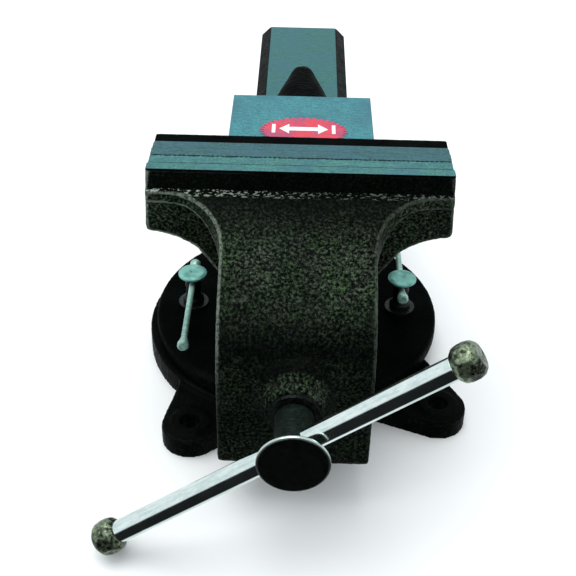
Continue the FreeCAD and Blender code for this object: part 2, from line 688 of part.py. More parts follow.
def moving_jaw_casting():
    reach = HALF + MOVING_FLARE_END
    wing_block = box(-reach, reach, JAW_FRONT_Y, FRONT_FACE_Y - RELIEF, WING_ROOT_Z, JAW_TOP)
    wings = wing_block.common(front_prism(MOVING_OUTLINE, JAW_FRONT_Y - 1, 0))
    slide = front_prism(slide_section(0), FRONT_FACE_Y - RELIEF - 5, SLIDE_BACK_Y)
    end_bevel = side_prism([(SLIDE_BACK_Y + 1, SLIDE_TOP - SLIDE_END_BEVEL - 1),
                            (SLIDE_BACK_Y + 1, SLIDE_TOP + 1),
                            (SLIDE_BACK_Y - SLIDE_END_BEVEL - 1, SLIDE_TOP + 1)], -HALF, HALF)
    slide = slide.cut(end_bevel)
    foot = 12.0              # the boss spreads this much where it meets the neck
    chamfer = 2.0
    boss = turned([
        (BOSS_FRONT_Y, 0),
        (BOSS_FRONT_Y, BOSS_R - chamfer),
        (BOSS_FRONT_Y + chamfer, BOSS_R),
        (NECK_FRONT_Y - 0.75 * foot, BOSS_R),
        (NECK_FRONT_Y + 2, BOSS_R + foot),
        (NECK_FRONT_Y + 2, 0),
    ], V(0, 0, SCREW_Z), Y_AXIS)
    body = fused(neck_block(), wings, slide, boss)

    channel = box(-CHANNEL_HALF, CHANNEL_HALF, NECK_FRONT_Y + FRONT_WALL, SLIDE_BACK_Y + 1,
                  NECK_BOTTOM - 1, CHANNEL_TOP)
    bore = rod(SCREW_R + RUN_CLEAR, V(0, BOSS_FRONT_Y - 1, SCREW_Z), V(0, NECK_FRONT_Y + 40, SCREW_Z))
    core_front = NECK_FRONT_Y + FRONT_WALL
    neck_core = side_prism([
        (core_front, NECK_BOTTOM - 1),
        (core_front, SCREW_Z + 22),
        (core_front + 14, NECK_CORE_TOP),
        (JAW_FRONT_Y - FRONT_WALL, NECK_CORE_TOP + 14),
        (JAW_FRONT_Y - FRONT_WALL, NECK_BOTTOM - 1),
    ], -NECK_CORE_HALF, NECK_CORE_HALF)
    seat = insert_seat(FRONT_SEAT_Y, FRONT_FACE_Y)
    cuts = [channel, bore, neck_core, seat] + insert_screw_holes(FRONT_FACE_Y, FRONT_SEAT_Y)
    return body.cut(cuts).removeSplitter()


# ---------------------------------------------------------------- spindle
WALL_BACK_Y = NECK_FRONT_Y + FRONT_WALL
THRUST_THICK = 3.8
SHOULDER_Y = BOSS_FRONT_Y - THRUST_THICK - 0.2
SPRING_WASHER_THICK = 2.0
SPRING_COUNT = 4
SPRING_BORE_R = 14.0
SPRING_R = 20.5
SPRING_GAUGE = 1.8
SPRING_LENGTH = 14.0
COLLAR_LENGTH = 12.0
COLLAR_R = 21.0
PIN_R = 2.5
SPRING_WASHER_Y = WALL_BACK_Y + 0.3
SPRING_Y = SPRING_WASHER_Y + SPRING_WASHER_THICK
COLLAR_Y = SPRING_Y + SPRING_LENGTH
COLLAR_END_Y = COLLAR_Y + COLLAR_LENGTH
BAR_Y = DISC_FRONT_Y + BAR_BEHIND_DISC


def thrust_washer():
    return tube(SCREW_R + HOLE_CLEAR, COLLAR_R, V(0, BOSS_FRONT_Y - THRUST_THICK, SCREW_Z),
                V(0, BOSS_FRONT_Y, SCREW_Z))


def bar_direction():
    tilt = math.radians(BAR_TILT)
    return V(math.cos(tilt), 0, math.sin(tilt))


def spindle():
    """Disc head, cross-drilled shank, journal, and a thread drawn as rings."""
    behind = DISC_FRONT_Y + DISC_THICK
    points = [
        (DISC_FRONT_Y, 0),
        (DISC_FRONT_Y, DISC_R - 2.0),
        (DISC_FRONT_Y + 0.8, DISC_R - 0.6),
        (DISC_FRONT_Y + 2.2, DISC_R),
        (behind - 0.8, DISC_R),
        (behind, DISC_R - 0.8),
        (behind, SHANK_R + 3.0),
        (behind + 1.0, SHANK_R + 1.0),
        (behind + 3.0, SHANK_R),
        (SHOULDER_Y, SHANK_R),
        (SHOULDER_Y, SCREW_R),
    ]
    crest = 0.34 * SCREW_LEAD
    flank = (SCREW_LEAD - 2 * crest) / 2
    y = COLLAR_END_Y + 10.0
    while y + SCREW_LEAD < SCREW_END_Y:
        points.append((y, SCREW_R))
        points.append((y + flank, SCREW_R - THREAD_DEPTH))
        points.append((y + flank + crest, SCREW_R - THREAD_DEPTH))
        points.append((y + 2 * flank + crest, SCREW_R))
        y += SCREW_LEAD
    points.append((SCREW_END_Y - 3.0, SCREW_R))
    points.append((SCREW_END_Y, SCREW_R - 3.0))
    points.append((SCREW_END_Y, 0))
    body = turned(points, V(0, 0, SCREW_Z), Y_AXIS)
    along = bar_direction()
    middle = V(0, BAR_Y, SCREW_Z)
    bar_hole = rod(BAR_R + 0.1, middle - along * 40, middle + along * 40)
    pin_hole = rod(PIN_R, V(0, PIN_Y, SCREW_Z - 40), V(0, PIN_Y, SCREW_Z + 40))
    return body.cut([bar_hole, pin_hole])


PIN_Y = COLLAR_Y + COLLAR_LENGTH / 2


def spring_washer():
    return tube(SCREW_R, SPRING_R + 0.5, V(0, SPRING_WASHER_Y, SCREW_Z), V(0, SPRING_Y, SCREW_Z))


def disc_springs():
    """Four dished washers, face to face in pairs, between the plain washer and the collar."""
    height = SPRING_LENGTH / SPRING_COUNT
    springs = []
    for index in range(SPRING_COUNT):
        start = V(0, SPRING_Y + index * height, SCREW_Z)
        along = Y_AXIS
        if index % 2:
            start = start + Y_AXIS * height
            along = -Y_AXIS
        profile = [(0, SPRING_BORE_R), (SPRING_GAUGE, SPRING_BORE_R),
                   (height, SPRING_R), (height - SPRING_GAUGE, SPRING_R)]
        springs.append(turned(profile, start, along))
    return group(springs)


def spindle_collar():
    collar = tube(SCREW_R, COLLAR_R, V(0, COLLAR_Y, SCREW_Z), V(0, COLLAR_END_Y, SCREW_Z))
    return collar.cut(rod(PIN_R, V(0, PIN_Y, SCREW_Z - 40), V(0, PIN_Y, SCREW_Z + 40)))


def collar_pin():
    return rod(PIN_R, V(0, PIN_Y, SCREW_Z - COLLAR_R + 0.5), V(0, PIN_Y, SCREW_Z + COLLAR_R - 0.5))


# ---------------------------------------------------------------- tommy bar
def bar_point(distance):
    """A point on the bar's axis, measured from the spindle towards the upper end."""
    return V(0, BAR_Y, SCREW_Z) + bar_direction() * distance


def tommy_bar():
    half = BAR_SPAN / 2 - KNOB_LENGTH / 2
    body = rod(BAR_R, bar_point(BAR_OFFSET - half), bar_point(BAR_OFFSET + half))
    reach = half + SPIGOT_LENGTH
    spigots = rod(SPIGOT_R, bar_point(BAR_OFFSET - reach), bar_point(BAR_OFFSET + reach))
    return fused(body, spigots)


def bar_knob(side):
    """A barrel-shaped knob, bored blind for the bar's spigot."""
    inner = bar_point(BAR_OFFSET + side * (BAR_SPAN - KNOB_LENGTH) / 2)
    outward = bar_direction() * side
    face_r = 0.68 * KNOB_R
    shoulder_r = 0.93 * KNOB_R
    profile = [(0, 0), (0, face_r)]
    profile.append((0.17 * KNOB_LENGTH, shoulder_r))
    profile.append((0.36 * KNOB_LENGTH, KNOB_R))
    profile.append((0.62 * KNOB_LENGTH, KNOB_R))
    profile.append((0.83 * KNOB_LENGTH, shoulder_r))
    profile.append((KNOB_LENGTH, face_r))
    profile.append((KNOB_LENGTH, 0))
    knob = turned(profile, inner, outward)
    return knob.cut(rod(SPIGOT_R, inner - outward, inner + outward * SPIGOT_LENGTH))


# ---------------------------------------------------------------- all nodes
def nodes():
    return {
        "base_casting": base_casting(),
        "pivot_stud": pivot_stud(),
        "pivot_washer": pivot_washer(),
        "pivot_nut": pivot_nut(),
        "fixed_jaw_casting": fixed_jaw_casting(),
        "rear_jaw_insert": insert_plate(REAR_FACE_Y, REAR_SEAT_Y),
        "rear_insert_screws": insert_screws(REAR_FACE_Y, REAR_SEAT_Y),
        "spindle_nut": spindle_nut(),
        "nut_bolts": group([nut_bolt(y) for y in NUT_BOLT_Y]),
        "size_badge": size_badge(),
        "lock_t_nuts": at_locks(lock_t_nut),
        "lock_washers": at_locks(lock_washer),
        "left_lock_screw": lock_screw(-LOCK_X),
        "right_lock_screw": lock_screw(LOCK_X),
        "left_lock_bar": lock_bar(-LOCK_X, LEFT_BAR_Y),
        "left_lock_bar_ends": lock_bar_ends(-LOCK_X, LEFT_BAR_Y),
        "right_lock_bar": lock_bar(LOCK_X, RIGHT_BAR_Y),
        "right_lock_bar_ends": lock_bar_ends(LOCK_X, RIGHT_BAR_Y),
        "moving_jaw_casting": moving_jaw_casting(),
        "front_jaw_insert": insert_plate(FRONT_FACE_Y, FRONT_SEAT_Y),
        "front_insert_screws": insert_screws(FRONT_FACE_Y, FRONT_SEAT_Y),
        "thrust_washer": thrust_washer(),
        "spindle": spindle(),
        "spring_washer": spring_washer(),
        "disc_springs": disc_springs(),
        "spindle_collar": spindle_collar(),
        "collar_pin": collar_pin(),
        "tommy_bar": tommy_bar(),
        "left_bar_knob": bar_knob(-1),
        "right_bar_knob": bar_knob(1),
    }


os.makedirs("parts", exist_ok=True)
for name, shape in nodes().items():
    shape.exportStep(f"parts/{name}.step")
    limits = shape.BoundBox
    print(f"{name}: {len(shape.Solids)} solid(s), valid {shape.isValid()}, {shape.Volume / 1000:.1f} cm3,"
          f" x {limits.XMin:.1f}..{limits.XMax:.1f} y {limits.YMin:.1f}..{limits.YMax:.1f}"
          f" z {limits.ZMin:.1f}..{limits.ZMax:.1f}")
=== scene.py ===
"""Looks of the bench vise: rough-cast black castings, ground steel faces, a chrome tommy bar.

The castings are the CAD solids, remeshed so that their cast edges are round, with a rough skin.
The turned pieces are spun from profiles that fill their CAD nodes' boxes.
"""
import json
import math

import bmesh
import bpy
import numpy as np
from mathutils import Matrix, Vector


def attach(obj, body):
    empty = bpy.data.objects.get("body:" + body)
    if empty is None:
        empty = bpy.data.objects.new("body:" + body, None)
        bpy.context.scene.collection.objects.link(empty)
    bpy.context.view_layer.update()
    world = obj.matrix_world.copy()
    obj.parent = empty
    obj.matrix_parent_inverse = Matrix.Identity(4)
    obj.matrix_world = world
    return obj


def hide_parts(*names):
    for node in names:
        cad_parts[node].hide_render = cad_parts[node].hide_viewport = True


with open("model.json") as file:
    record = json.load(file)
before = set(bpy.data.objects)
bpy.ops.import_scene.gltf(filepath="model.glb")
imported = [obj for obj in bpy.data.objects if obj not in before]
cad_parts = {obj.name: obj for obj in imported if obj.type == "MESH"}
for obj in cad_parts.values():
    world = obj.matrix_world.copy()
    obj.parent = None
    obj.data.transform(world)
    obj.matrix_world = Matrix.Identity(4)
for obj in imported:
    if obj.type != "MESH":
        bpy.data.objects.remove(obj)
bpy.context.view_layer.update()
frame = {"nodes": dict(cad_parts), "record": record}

MM = 0.001

# ---------------------------------------------------------------- sizes, in metres
JAW_TOP = 262.0 * MM
RIB_TOP = 243.0 * MM
JOINT_Y = -89.0 * MM
FRONT_SEAT_Y = -101.15 * MM
REAR_SEAT_Y = -76.85 * MM
ANVIL_TOP = 250.0 * MM
SLIDE_TOP = 177.0 * MM
SCREW_Z = 126.0 * MM
SCREW_R = 13.4 * MM
SCREW_LEAD = 8.0 * MM
THREAD_DEPTH = 2.5 * MM
BAR_TILT = math.radians(35.7)


# ---------------------------------------------------------------- material helpers
def linear(red, green, blue):
    """A colour given in sRGB 0..255, as the linear RGBA that shaders take."""
    parts = []
    for value in (red, green, blue):
        share = value / 255.0
        parts.append(share / 12.92 if share <= 0.04045 else ((share + 0.055) / 1.055) ** 2.4)
    return (*parts, 1.0)


class Nodes:
    """A short way to write a material's node tree."""

    def __init__(self, name):
        self.material = bpy.data.materials.new(name)
        self.material.use_nodes = True
        self.tree = self.material.node_tree
        self.tree.nodes.clear()
        self.out = self.add("ShaderNodeOutputMaterial")
        self.shader = self.add("ShaderNodeBsdfPrincipled")
        self.link(self.shader.outputs["BSDF"], self.out.inputs["Surface"])
        self.coord = self.add("ShaderNodeTexCoord")

    def add(self, kind, **settings):
        node = self.tree.nodes.new(kind)
        for key, value in settings.items():
            setattr(node, key, value)
        return node

    def link(self, start, end):
        self.tree.links.new(start, end)

    def set(self, **values):
        """Set sockets that have one value all over."""
        for key, value in values.items():
            self.shader.inputs[key.replace("_", " ")].default_value = value

    def drive(self, **values):
        """Link sockets that vary over the surface."""
        for key, value in values.items():
            self.link(value, self.shader.inputs[key.replace("_", " ")])

    def feed(self, socket, value):
        if hasattr(value, "is_output"):
            self.link(value, socket)
        else:
            socket.default_value = value

    def place(self, scale=(1, 1, 1), turn=(0, 0, 0)):
        """Object coordinates, turned and then stretched by scale."""
        node = self.add("ShaderNodeMapping")
        node.inputs["Scale"].default_value = scale
        node.inputs["Rotation"].default_value = turn
        self.link(self.coord.outputs["Object"], node.inputs["Vector"])
        return node.outputs["Vector"]

    def noise(self, scale, detail=3.0, rough=0.55, vector=None):
        node = self.add("ShaderNodeTexNoise")
        node.inputs["Scale"].default_value = scale
        node.inputs["Detail"].default_value = detail
        node.inputs["Roughness"].default_value = rough
        self.link(vector or self.coord.outputs["Object"], node.inputs["Vector"])
        return node.outputs["Fac"]

    def specks(self, spacing, size, share, soft=0.25):
        """Round specks about size across, in the given share of cells about spacing wide."""
        node = self.add("ShaderNodeTexVoronoi")
        node.inputs["Scale"].default_value = 1.0 / spacing
        self.link(self.coord.outputs["Object"], node.inputs["Vector"])
        split = self.add("ShaderNodeSeparateColor")
        self.link(node.outputs["Color"], split.inputs["Color"])
        edge = 0.5 * size / spacing
        dot = self.ramp(node.outputs["Distance"], edge * (1 + soft), edge * (1 - soft))
        chosen = self.ramp(split.outputs["Red"], 1 - share, 1 - share * 0.6)
        return self.math("MULTIPLY", dot, chosen)

    def ramp(self, value, low, high, start=0.0, end=1.0):
        """value from low to high, mapped smoothly to start to end."""
        node = self.add("ShaderNodeMapRange", interpolation_type="SMOOTHSTEP")
        self.link(value, node.inputs["Value"])
        node.inputs["From Min"].default_value = low
        node.inputs["From Max"].default_value = high
        node.inputs["To Min"].default_value = start
        node.inputs["To Max"].default_value = end
        return node.outputs["Result"]

    def math(self, operation, first, second=0.0):
        node = self.add("ShaderNodeMath", operation=operation)
        self.feed(node.inputs[0], first)
        self.feed(node.inputs[1], second)
        return node.outputs[0]

    def product(self, first, *others):
        for value in others:
            first = self.math("MULTIPLY", first, value)
        return first

    def mix(self, factor, first, second):
        node = self.add("ShaderNodeMix", data_type="RGBA")
        self.feed(node.inputs["Factor"], factor)
        sockets = [s for s in node.inputs if s.type == "RGBA"]
        self.feed(sockets[0], first)
        self.feed(sockets[1], second)
        return [s for s in node.outputs if s.type == "RGBA"][0]

    def blend(self, factor, first, second):
        node = self.add("ShaderNodeMix", data_type="FLOAT")
        self.feed(node.inputs["Factor"], factor)
        self.feed(node.inputs["A"], first)
        self.feed(node.inputs["B"], second)
        return node.outputs["Result"]

    def bump(self, height, distance):
        node = self.add("ShaderNodeBump")
        node.inputs["Distance"].default_value = distance
        self.link(height, node.inputs["Height"])
        return node.outputs["Normal"]

    def axis(self, name, source="Object"):
        node = self.add("ShaderNodeSeparateXYZ")
        self.link(self.coord.outputs[source], node.inputs[0])
        return node.outputs[name]

    def near(self, value, target, half, soft):
        """1 where value is within half of target, 0 past half + soft."""
        away = self.math("ABSOLUTE", self.math("SUBTRACT", value, target))
        return self.ramp(away, half + soft, half)


# ---------------------------------------------------------------- materials
# Stretches over which the grey-green specks and painted glints on the black paint fade in or out
UNDER_BAND_Z = (217.0 * MM, 241.0 * MM)
NECK_Z = (166.0 * MM, 216.0 * MM)
BAND_Z = (240.0 * MM, 245.0 * MM)
SIDES_Z = (120.0 * MM, 210.0 * MM)
BOSS_Y = (-244.0 * MM, -240.0 * MM)
FRONT_Y = (-112.0 * MM, -85.0 * MM)
SPOT_SPACING = 4.0 * MM
SPOT_SIZE = 1.9 * MM

# Stretches over which cast edges and the rib show light grey-green: rubbed bare metal and a painted
# highlight, stronger on the left and higher up
WEAR_GLINT_X = (35.0 * MM, 50.0 * MM)
WEAR_GLINT_Z = (120.0 * MM, 195.0 * MM)
WEAR_GLINT_SIDE_X = (-70.0 * MM, 60.0 * MM)
RIB_X = (-110.0 * MM, 30.0 * MM)
RIB_HALF = 0.8 * MM

# A ground face's mask about its plane, and about the seam beside each insert
PLANE_HALF = 0.35 * MM
PLANE_SOFT = 0.3 * MM
GROOVE_DEPTH = 2.6 * MM
GROOVE_DEPTH_SOFT = 0.5 * MM
GROOVE_HALF = 1.2 * MM
GROOVE_SOFT = 0.4 * MM
PAINT_RELIEF = 0.9 * MM
GROUND_METALLIC = 0.45
GROUND_SPECULAR = 0.3

# Painted shade in the gap along the joint between the inserts
JOINT_SHADE_HALF = 1.0 * MM
JOINT_SHADE_SOFT = 0.6 * MM
JOINT_SHADE_WANDER = 2.2 * MM

LOCK_PLATED_Z = (75.4 * MM, 76.0 * MM)
RIM_WANDER = 1.6 * MM
RIM_OUTER = 0.7 * MM
RIM_INNER = 1.6 * MM


def ground_metal(n, dark, light):
    """Colour of a ground face: fine grit, faint marks along the jaws, soft blue clouds."""
    marks = n.noise(1.0, 4.0, 0.75, n.place((110.0, 700.0, 700.0)))
    grit = n.noise(520.0, 3.0, 0.7)
    tone = n.math("ADD", n.product(marks, 0.45), n.product(grit, 0.55))
    cloud = n.ramp(n.noise(34.0, 4.0, 0.65), 0.4, 0.7, 0.0, 0.55)
    metal = n.mix(n.ramp(tone, 0.36, 0.64), linear(*dark), linear(*light))
    return tone, n.mix(cloud, metal, linear(58, 100, 118))


def mottle_and_glints(n, share, front, y, z):
    """How much grey-green covers the black paint, from 0 to 1: the paint's own specks, and painted glints
    strongest on up-facing slopes.
    """
    upper = n.ramp(z, *UNDER_BAND_Z, 0.42, 0.07)
    lower = n.ramp(z, *NECK_Z, 0.08, 1.0)
    boss = n.ramp(y, *BOSS_Y, 0.3, 0.0)
    facing_up = n.math("MAXIMUM", n.product(upper, lower), boss)
    below_band = n.ramp(z, *BAND_Z, 1.0, 0.1)
    # Painted glints: more grey-green where the surface faces up
    slope = n.ramp(n.axis("Z", "Normal"), 0.1, 0.4)
    shown = n.blend(slope, n.ramp(z, *SIDES_Z, 0.12, 0.3), facing_up)
    patch = n.ramp(n.noise(22.0, 3.0), 0.36, 0.64, 0.65, 1.15)
    shown = n.product(shown, patch, share, front, below_band)

    grain = n.ramp(n.noise(400.0, 2.0, 0.6), 0.34, 0.72)
    fine = n.ramp(n.noise(820.0, 2.0, 0.6), 0.36, 0.7)
    crest = n.math("ADD", n.product(fine, 0.8), n.product(grain, 0.5))
    grain = n.product(grain, crest)
    spots = n.product(n.specks(SPOT_SPACING, SPOT_SIZE, 0.4), 0.5)
    return n.math("MINIMUM", n.product(n.math("MAXIMUM", grain, spots), shown), 1.0)


def wear_and_glint(n, share, front, z):
    """How much light grey-green shows on the rounded cast edges and along the rib, from 0 to 1: rubbed bare
    metal and a painted highlight.
    """
    x = n.axis("X")
    edge = n.ramp(n.add("ShaderNodeAttribute", attribute_name="edge").outputs["Fac"], 0.2, 1.0)
    chips = n.ramp(n.noise(300.0, 3.0, 0.7), 0.34, 0.6, 0.15, 1.0)
    # Painted highlight, stronger on the left side
    left_side = n.ramp(x, *WEAR_GLINT_SIDE_X, 1.0, 0.3)
    off_centre = n.ramp(n.math("ABSOLUTE", x), *WEAR_GLINT_X)
    high = n.ramp(z, *WEAR_GLINT_Z, 0.03 * share, 0.42 * share)
    wear_glint = n.product(edge, chips, left_side, front, off_centre, high)

    dash = n.ramp(n.noise(1.0, 2.0, 0.6, n.place((260.0, 500.0, 320.0))), 0.54, 0.61)
    rib = n.product(n.near(z, RIB_TOP, RIB_HALF, RIB_HALF), dash, front)
    rib = n.product(rib, n.ramp(x, *RIB_X, share, 0.3 * share))
    return n.math("MAXIMUM", wear_glint, rib)


def cast_paint(name, share, planes=(), spec=0.012):
    """Black paint over a rough casting, with grey-green specks and painted glints, and ground faces on top.

    share scales the specks and glints. planes lists each machined upward face as its height and its two
    colours.
    """
    n = Nodes(name)
    y = n.axis("Y")
    z = n.axis("Z")
    front = n.ramp(y, *FRONT_Y, 1.0, 0.12)
    # Grey-green over the black: the paint's own specks, and painted glints on up-facing slopes
    mottle_glint = mottle_and_glints(n, share, front, y, z)
    black = n.mix(n.ramp(n.noise(30.0), 0.3, 0.7), linear(2, 3, 3), linear(5, 8, 7))
    tint = n.mix(n.ramp(n.noise(60.0, 2.0), 0.35, 0.65), linear(104, 134, 96), linear(118, 134, 112))
    paint = n.mix(mottle_glint, black, tint)
    # Light grey-green on rounded edges and the rib: rubbed metal and a painted highlight
    paint = n.mix(wear_and_glint(n, share, front, z), paint, linear(150, 164, 150))
    pits = n.noise(430.0, 3.0, 0.6)
    paint_rough = n.ramp(n.noise(120.0), 0.3, 0.7, 0.3, 0.48)
    if not planes:
        relief = n.math("ADD", n.product(pits, 0.6), n.product(mottle_glint, 0.4))
        n.drive(Base_Color=paint, Roughness=paint_rough, Normal=n.bump(relief, PAINT_RELIEF))
        n.set(Specular_IOR_Level=spec)
        return n.material

    up = n.ramp(n.axis("Z", "Normal"), 0.9, 0.97)
    bare = 0.0
    colour = paint
    for height, dark, light in planes:
        here = n.product(n.near(z, height, PLANE_HALF, PLANE_SOFT), up)
        if height == JAW_TOP:
            groove = n.near(z, JAW_TOP, GROOVE_DEPTH, GROOVE_DEPTH_SOFT)
            seats = n.math("MAXIMUM", n.near(y, FRONT_SEAT_Y, GROOVE_HALF, GROOVE_SOFT),
                           n.near(y, REAR_SEAT_Y, GROOVE_HALF, GROOVE_SOFT))
            here = n.math("MAXIMUM", here, n.product(groove, seats))
        colour = n.mix(here, colour, ground_metal(n, dark, light)[1])
        bare = n.math("MAXIMUM", bare, here)
    relief = n.math("ADD", n.product(pits, n.ramp(bare, 0.0, 1.0, 0.6, 0.04)), n.product(mottle_glint, 0.4))
    metal_rough = n.ramp(n.noise(520.0, 3.0, 0.7), 0.3, 0.7, 0.45, 0.6)
    n.drive(
        Base_Color=colour,
        Metallic=n.product(bare, GROUND_METALLIC),
        Roughness=n.blend(bare, paint_rough, metal_rough),
        Specular_IOR_Level=n.ramp(bare, 0.0, 1.0, spec, GROUND_SPECULAR),
        Normal=n.bump(relief, PAINT_RELIEF),
    )
    return n.material


def steel(name, dark, light, rough, metallic=0.9, stretch=(400.0, 400.0, 400.0), relief=0.05 * MM,
          spread=0.14):
    """Bare or plated steel, with marks stretched along one axis and cloudy roughness."""
    n = Nodes(name)
    marks = n.noise(1.0, 4.0, 0.65, n.place(stretch))
    cloud = n.noise(45.0, 4.0, 0.6)
    tone = n.math("ADD", n.product(marks, 0.6), n.product(cloud, 0.4))
    n.drive(
        Base_Color=n.mix(n.ramp(tone, 0.36, 0.64), dark, light),
        Roughness=n.ramp(tone, 0.3, 0.7, rough - spread / 2, rough + spread / 2),
        Normal=n.bump(marks, relief),
    )
    n.set(Metallic=metallic)
    return n.material


def ground_steel(name, dark, light):
    """An insert's steel, with painted shade in broken dashes along the gap between the jaws."""
    n = Nodes(name)
    tone, metal = ground_metal(n, dark, light)
    dash = n.ramp(n.noise(1.0, 2.0, 0.6, n.place((150.0, 380.0, 1.0))), 0.44, 0.52)
    wander = n.product(n.math("SUBTRACT", n.noise(60.0, 2.0), 0.5), JOINT_SHADE_WANDER)
    joint = n.near(n.math("ADD", n.axis("Y"), wander), JOINT_Y, JOINT_SHADE_HALF, JOINT_SHADE_SOFT)
    # Painted shade: dark dashes in the gap between the jaws
    joint_shade = n.product(joint, dash, n.ramp(n.axis("Z", "Normal"), 0.5, 0.8))
    n.drive(
        Base_Color=n.mix(joint_shade, metal, linear(10, 44, 54)),
        Roughness=n.ramp(tone, 0.3, 0.7, 0.42, 0.58),
        Normal=n.bump(tone, 0.06 * MM),
    )
    n.set(Metallic=GROUND_METALLIC, Specular_IOR_Level=GROUND_SPECULAR)
    return n.material


def lock_finish(name):
    """A lock screw: a plated head, and the body below it coloured near black."""
    n = Nodes(name)
    cloud = n.noise(90.0, 3.0, 0.6)
    grit = n.noise(600.0, 3.0, 0.7)
    head = n.ramp(n.axis("Z"), *LOCK_PLATED_Z)
    plate = n.mix(n.ramp(cloud, 0.35, 0.65), linear(84, 138, 130), linear(124, 182, 170))
    n.drive(
        Base_Color=n.mix(head, linear(9, 13, 12), plate),
        Metallic=n.product(head, 0.4),
        Roughness=n.ramp(grit, 0.3, 0.7, 0.36, 0.52),
        Normal=n.bump(grit, 0.05 * MM),
    )
    n.set(Specular_IOR_Level=0.2)
    return n.material


def disc_finish(name, centre_z, rim_r):
    """Spindle head coloured black where it faces the front, with a rubbed rim painted bright on top as a
    highlight, and a satin grey-green shank behind it.
    """
    n = Nodes(name)
    x = n.axis("X")
    z = n.math("SUBTRACT", n.axis("Z"), centre_z)
    radius = n.math("SQRT", n.math("ADD", n.product(x, x), n.product(z, z)))
    marks = n.noise(1.0, 4.0, 0.65, n.place((260.0, 900.0, 260.0)))
    wear_glint = n.noise(160.0, 4.0, 0.7)
    edge = n.math("ADD", radius, n.product(n.math("SUBTRACT", wear_glint, 0.5), RIM_WANDER))
    face = n.ramp(n.product(n.axis("Y", "Normal"), -1.0), 0.5, 0.8)
    on_top = n.ramp(n.axis("Z", "Normal"), 0.0, 0.6, 0.1, 1.0)
    off_face = n.ramp(face, 0.0, 1.0, 1.0, 0.15)
    # Rim's light colour: rubbed metal and a painted highlight, strongest where it faces up
    rim = n.product(n.ramp(edge, rim_r - RIM_INNER, rim_r - RIM_OUTER), on_top, off_face)
    shank = n.mix(n.ramp(marks, 0.35, 0.65), linear(9, 15, 13), linear(30, 42, 36))
    black = n.mix(n.ramp(marks, 0.3, 0.7), linear(2, 3, 3), linear(7, 9, 8))
    body = n.mix(face, shank, black)
    n.drive(
        Base_Color=n.mix(rim, body, linear(205, 222, 216)),
        Metallic=n.math("MAXIMUM", rim, n.ramp(face, 0.0, 1.0, 0.4, 0.0)),
        Roughness=n.blend(rim, n.ramp(marks, 0.3, 0.7, 0.34, 0.5), n.ramp(wear_glint, 0.3, 0.7, 0.16, 0.34)),
        Normal=n.bump(marks, 0.05 * MM),
    )
    n.set(Specular_IOR_Level=0.1)
    return n.material


def knob_finish(name):
    """Worn, oily forged knob: dark pits, brighter ridges."""
    n = Nodes(name)
    pits = n.noise(330.0, 4.0, 0.7)
    patches = n.noise(70.0, 3.0, 0.6)
    tone = n.math("ADD", n.product(pits, 0.5), n.product(patches, 0.5))
    n.drive(
        Base_Color=n.mix(n.ramp(tone, 0.42, 0.6), linear(16, 22, 17), linear(134, 150, 122)),
        Roughness=n.ramp(tone, 0.35, 0.65, 0.42, 0.2),
        Normal=n.bump(pits, 0.5 * MM),
    )
    n.set(Metallic=0.85)
    return n.material


def badge_finish(name):
    """Printed enamel: red, with a violet tint in soft patches."""
    n = Nodes(name)
    tint = n.noise(55.0, 3.0)
    print_grain = n.noise(600.0, 2.0)
    red = n.mix(n.ramp(tint, 0.35, 0.65), linear(206, 34, 58), linear(160, 48, 92))
    n.drive(
        Base_Color=n.mix(n.ramp(print_grain, 0.45, 0.7, 0.0, 0.25), red, linear(232, 120, 130)),
        Roughness=n.ramp(print_grain, 0.3, 0.7, 0.3, 0.42),
        Normal=n.bump(print_grain, 0.03 * MM),
    )
    return n.material


# The inserts' colours are one ground steel in a lighter front and a darker rear copy, and the anvil's is
# lighter still: painted light and shade
FRONT_METAL = ((42, 88, 86), (82, 142, 136))
REAR_METAL = ((36, 70, 74), (68, 114, 118))
ANVIL_METAL = ((44, 98, 105), (82, 157, 165))
SLIDE_METAL = ((35, 79, 79), (67, 126, 122))
moving_paint = cast_paint("moving_jaw_paint", 1.0, ((JAW_TOP, *FRONT_METAL), (SLIDE_TOP, *SLIDE_METAL)))
fixed_paint = cast_paint("fixed_jaw_paint", 0.3, ((JAW_TOP, *REAR_METAL), (ANVIL_TOP, *ANVIL_METAL)), 0.004)
base_paint = cast_paint("base_paint", 0.3, spec=0.01)
jaw_steel = ground_steel("jaw_steel", *FRONT_METAL)
rear_jaw_steel = ground_steel("rear_jaw_steel", *REAR_METAL)
dark_steel = steel("dark_steel", linear(22, 26, 26), linear(60, 66, 64), 0.4)
bronze = steel("bronze", linear(128, 92, 52), linear(176, 136, 82), 0.38)
badge_red = badge_finish("badge_red")
badge_white = steel("badge_white", linear(232, 222, 226), linear(250, 246, 248), 0.4, metallic=0.0)
plated = steel("plated", linear(104, 148, 138), linear(164, 204, 188), 0.4, metallic=0.4)
lock_body = lock_finish("lock_body")
spindle_black = disc_finish("spindle_black", SCREW_Z, 28.5 * MM)
thread_steel = steel("thread_steel", linear(30, 34, 34), linear(88, 94, 92), 0.3)
chrome = steel("chrome", linear(206, 224, 220), linear(240, 250, 248), 0.12, metallic=1.0,
               stretch=(60.0, 300.0, 60.0), relief=0.01 * MM, spread=0.08)
knob_steel = knob_finish("knob_steel")

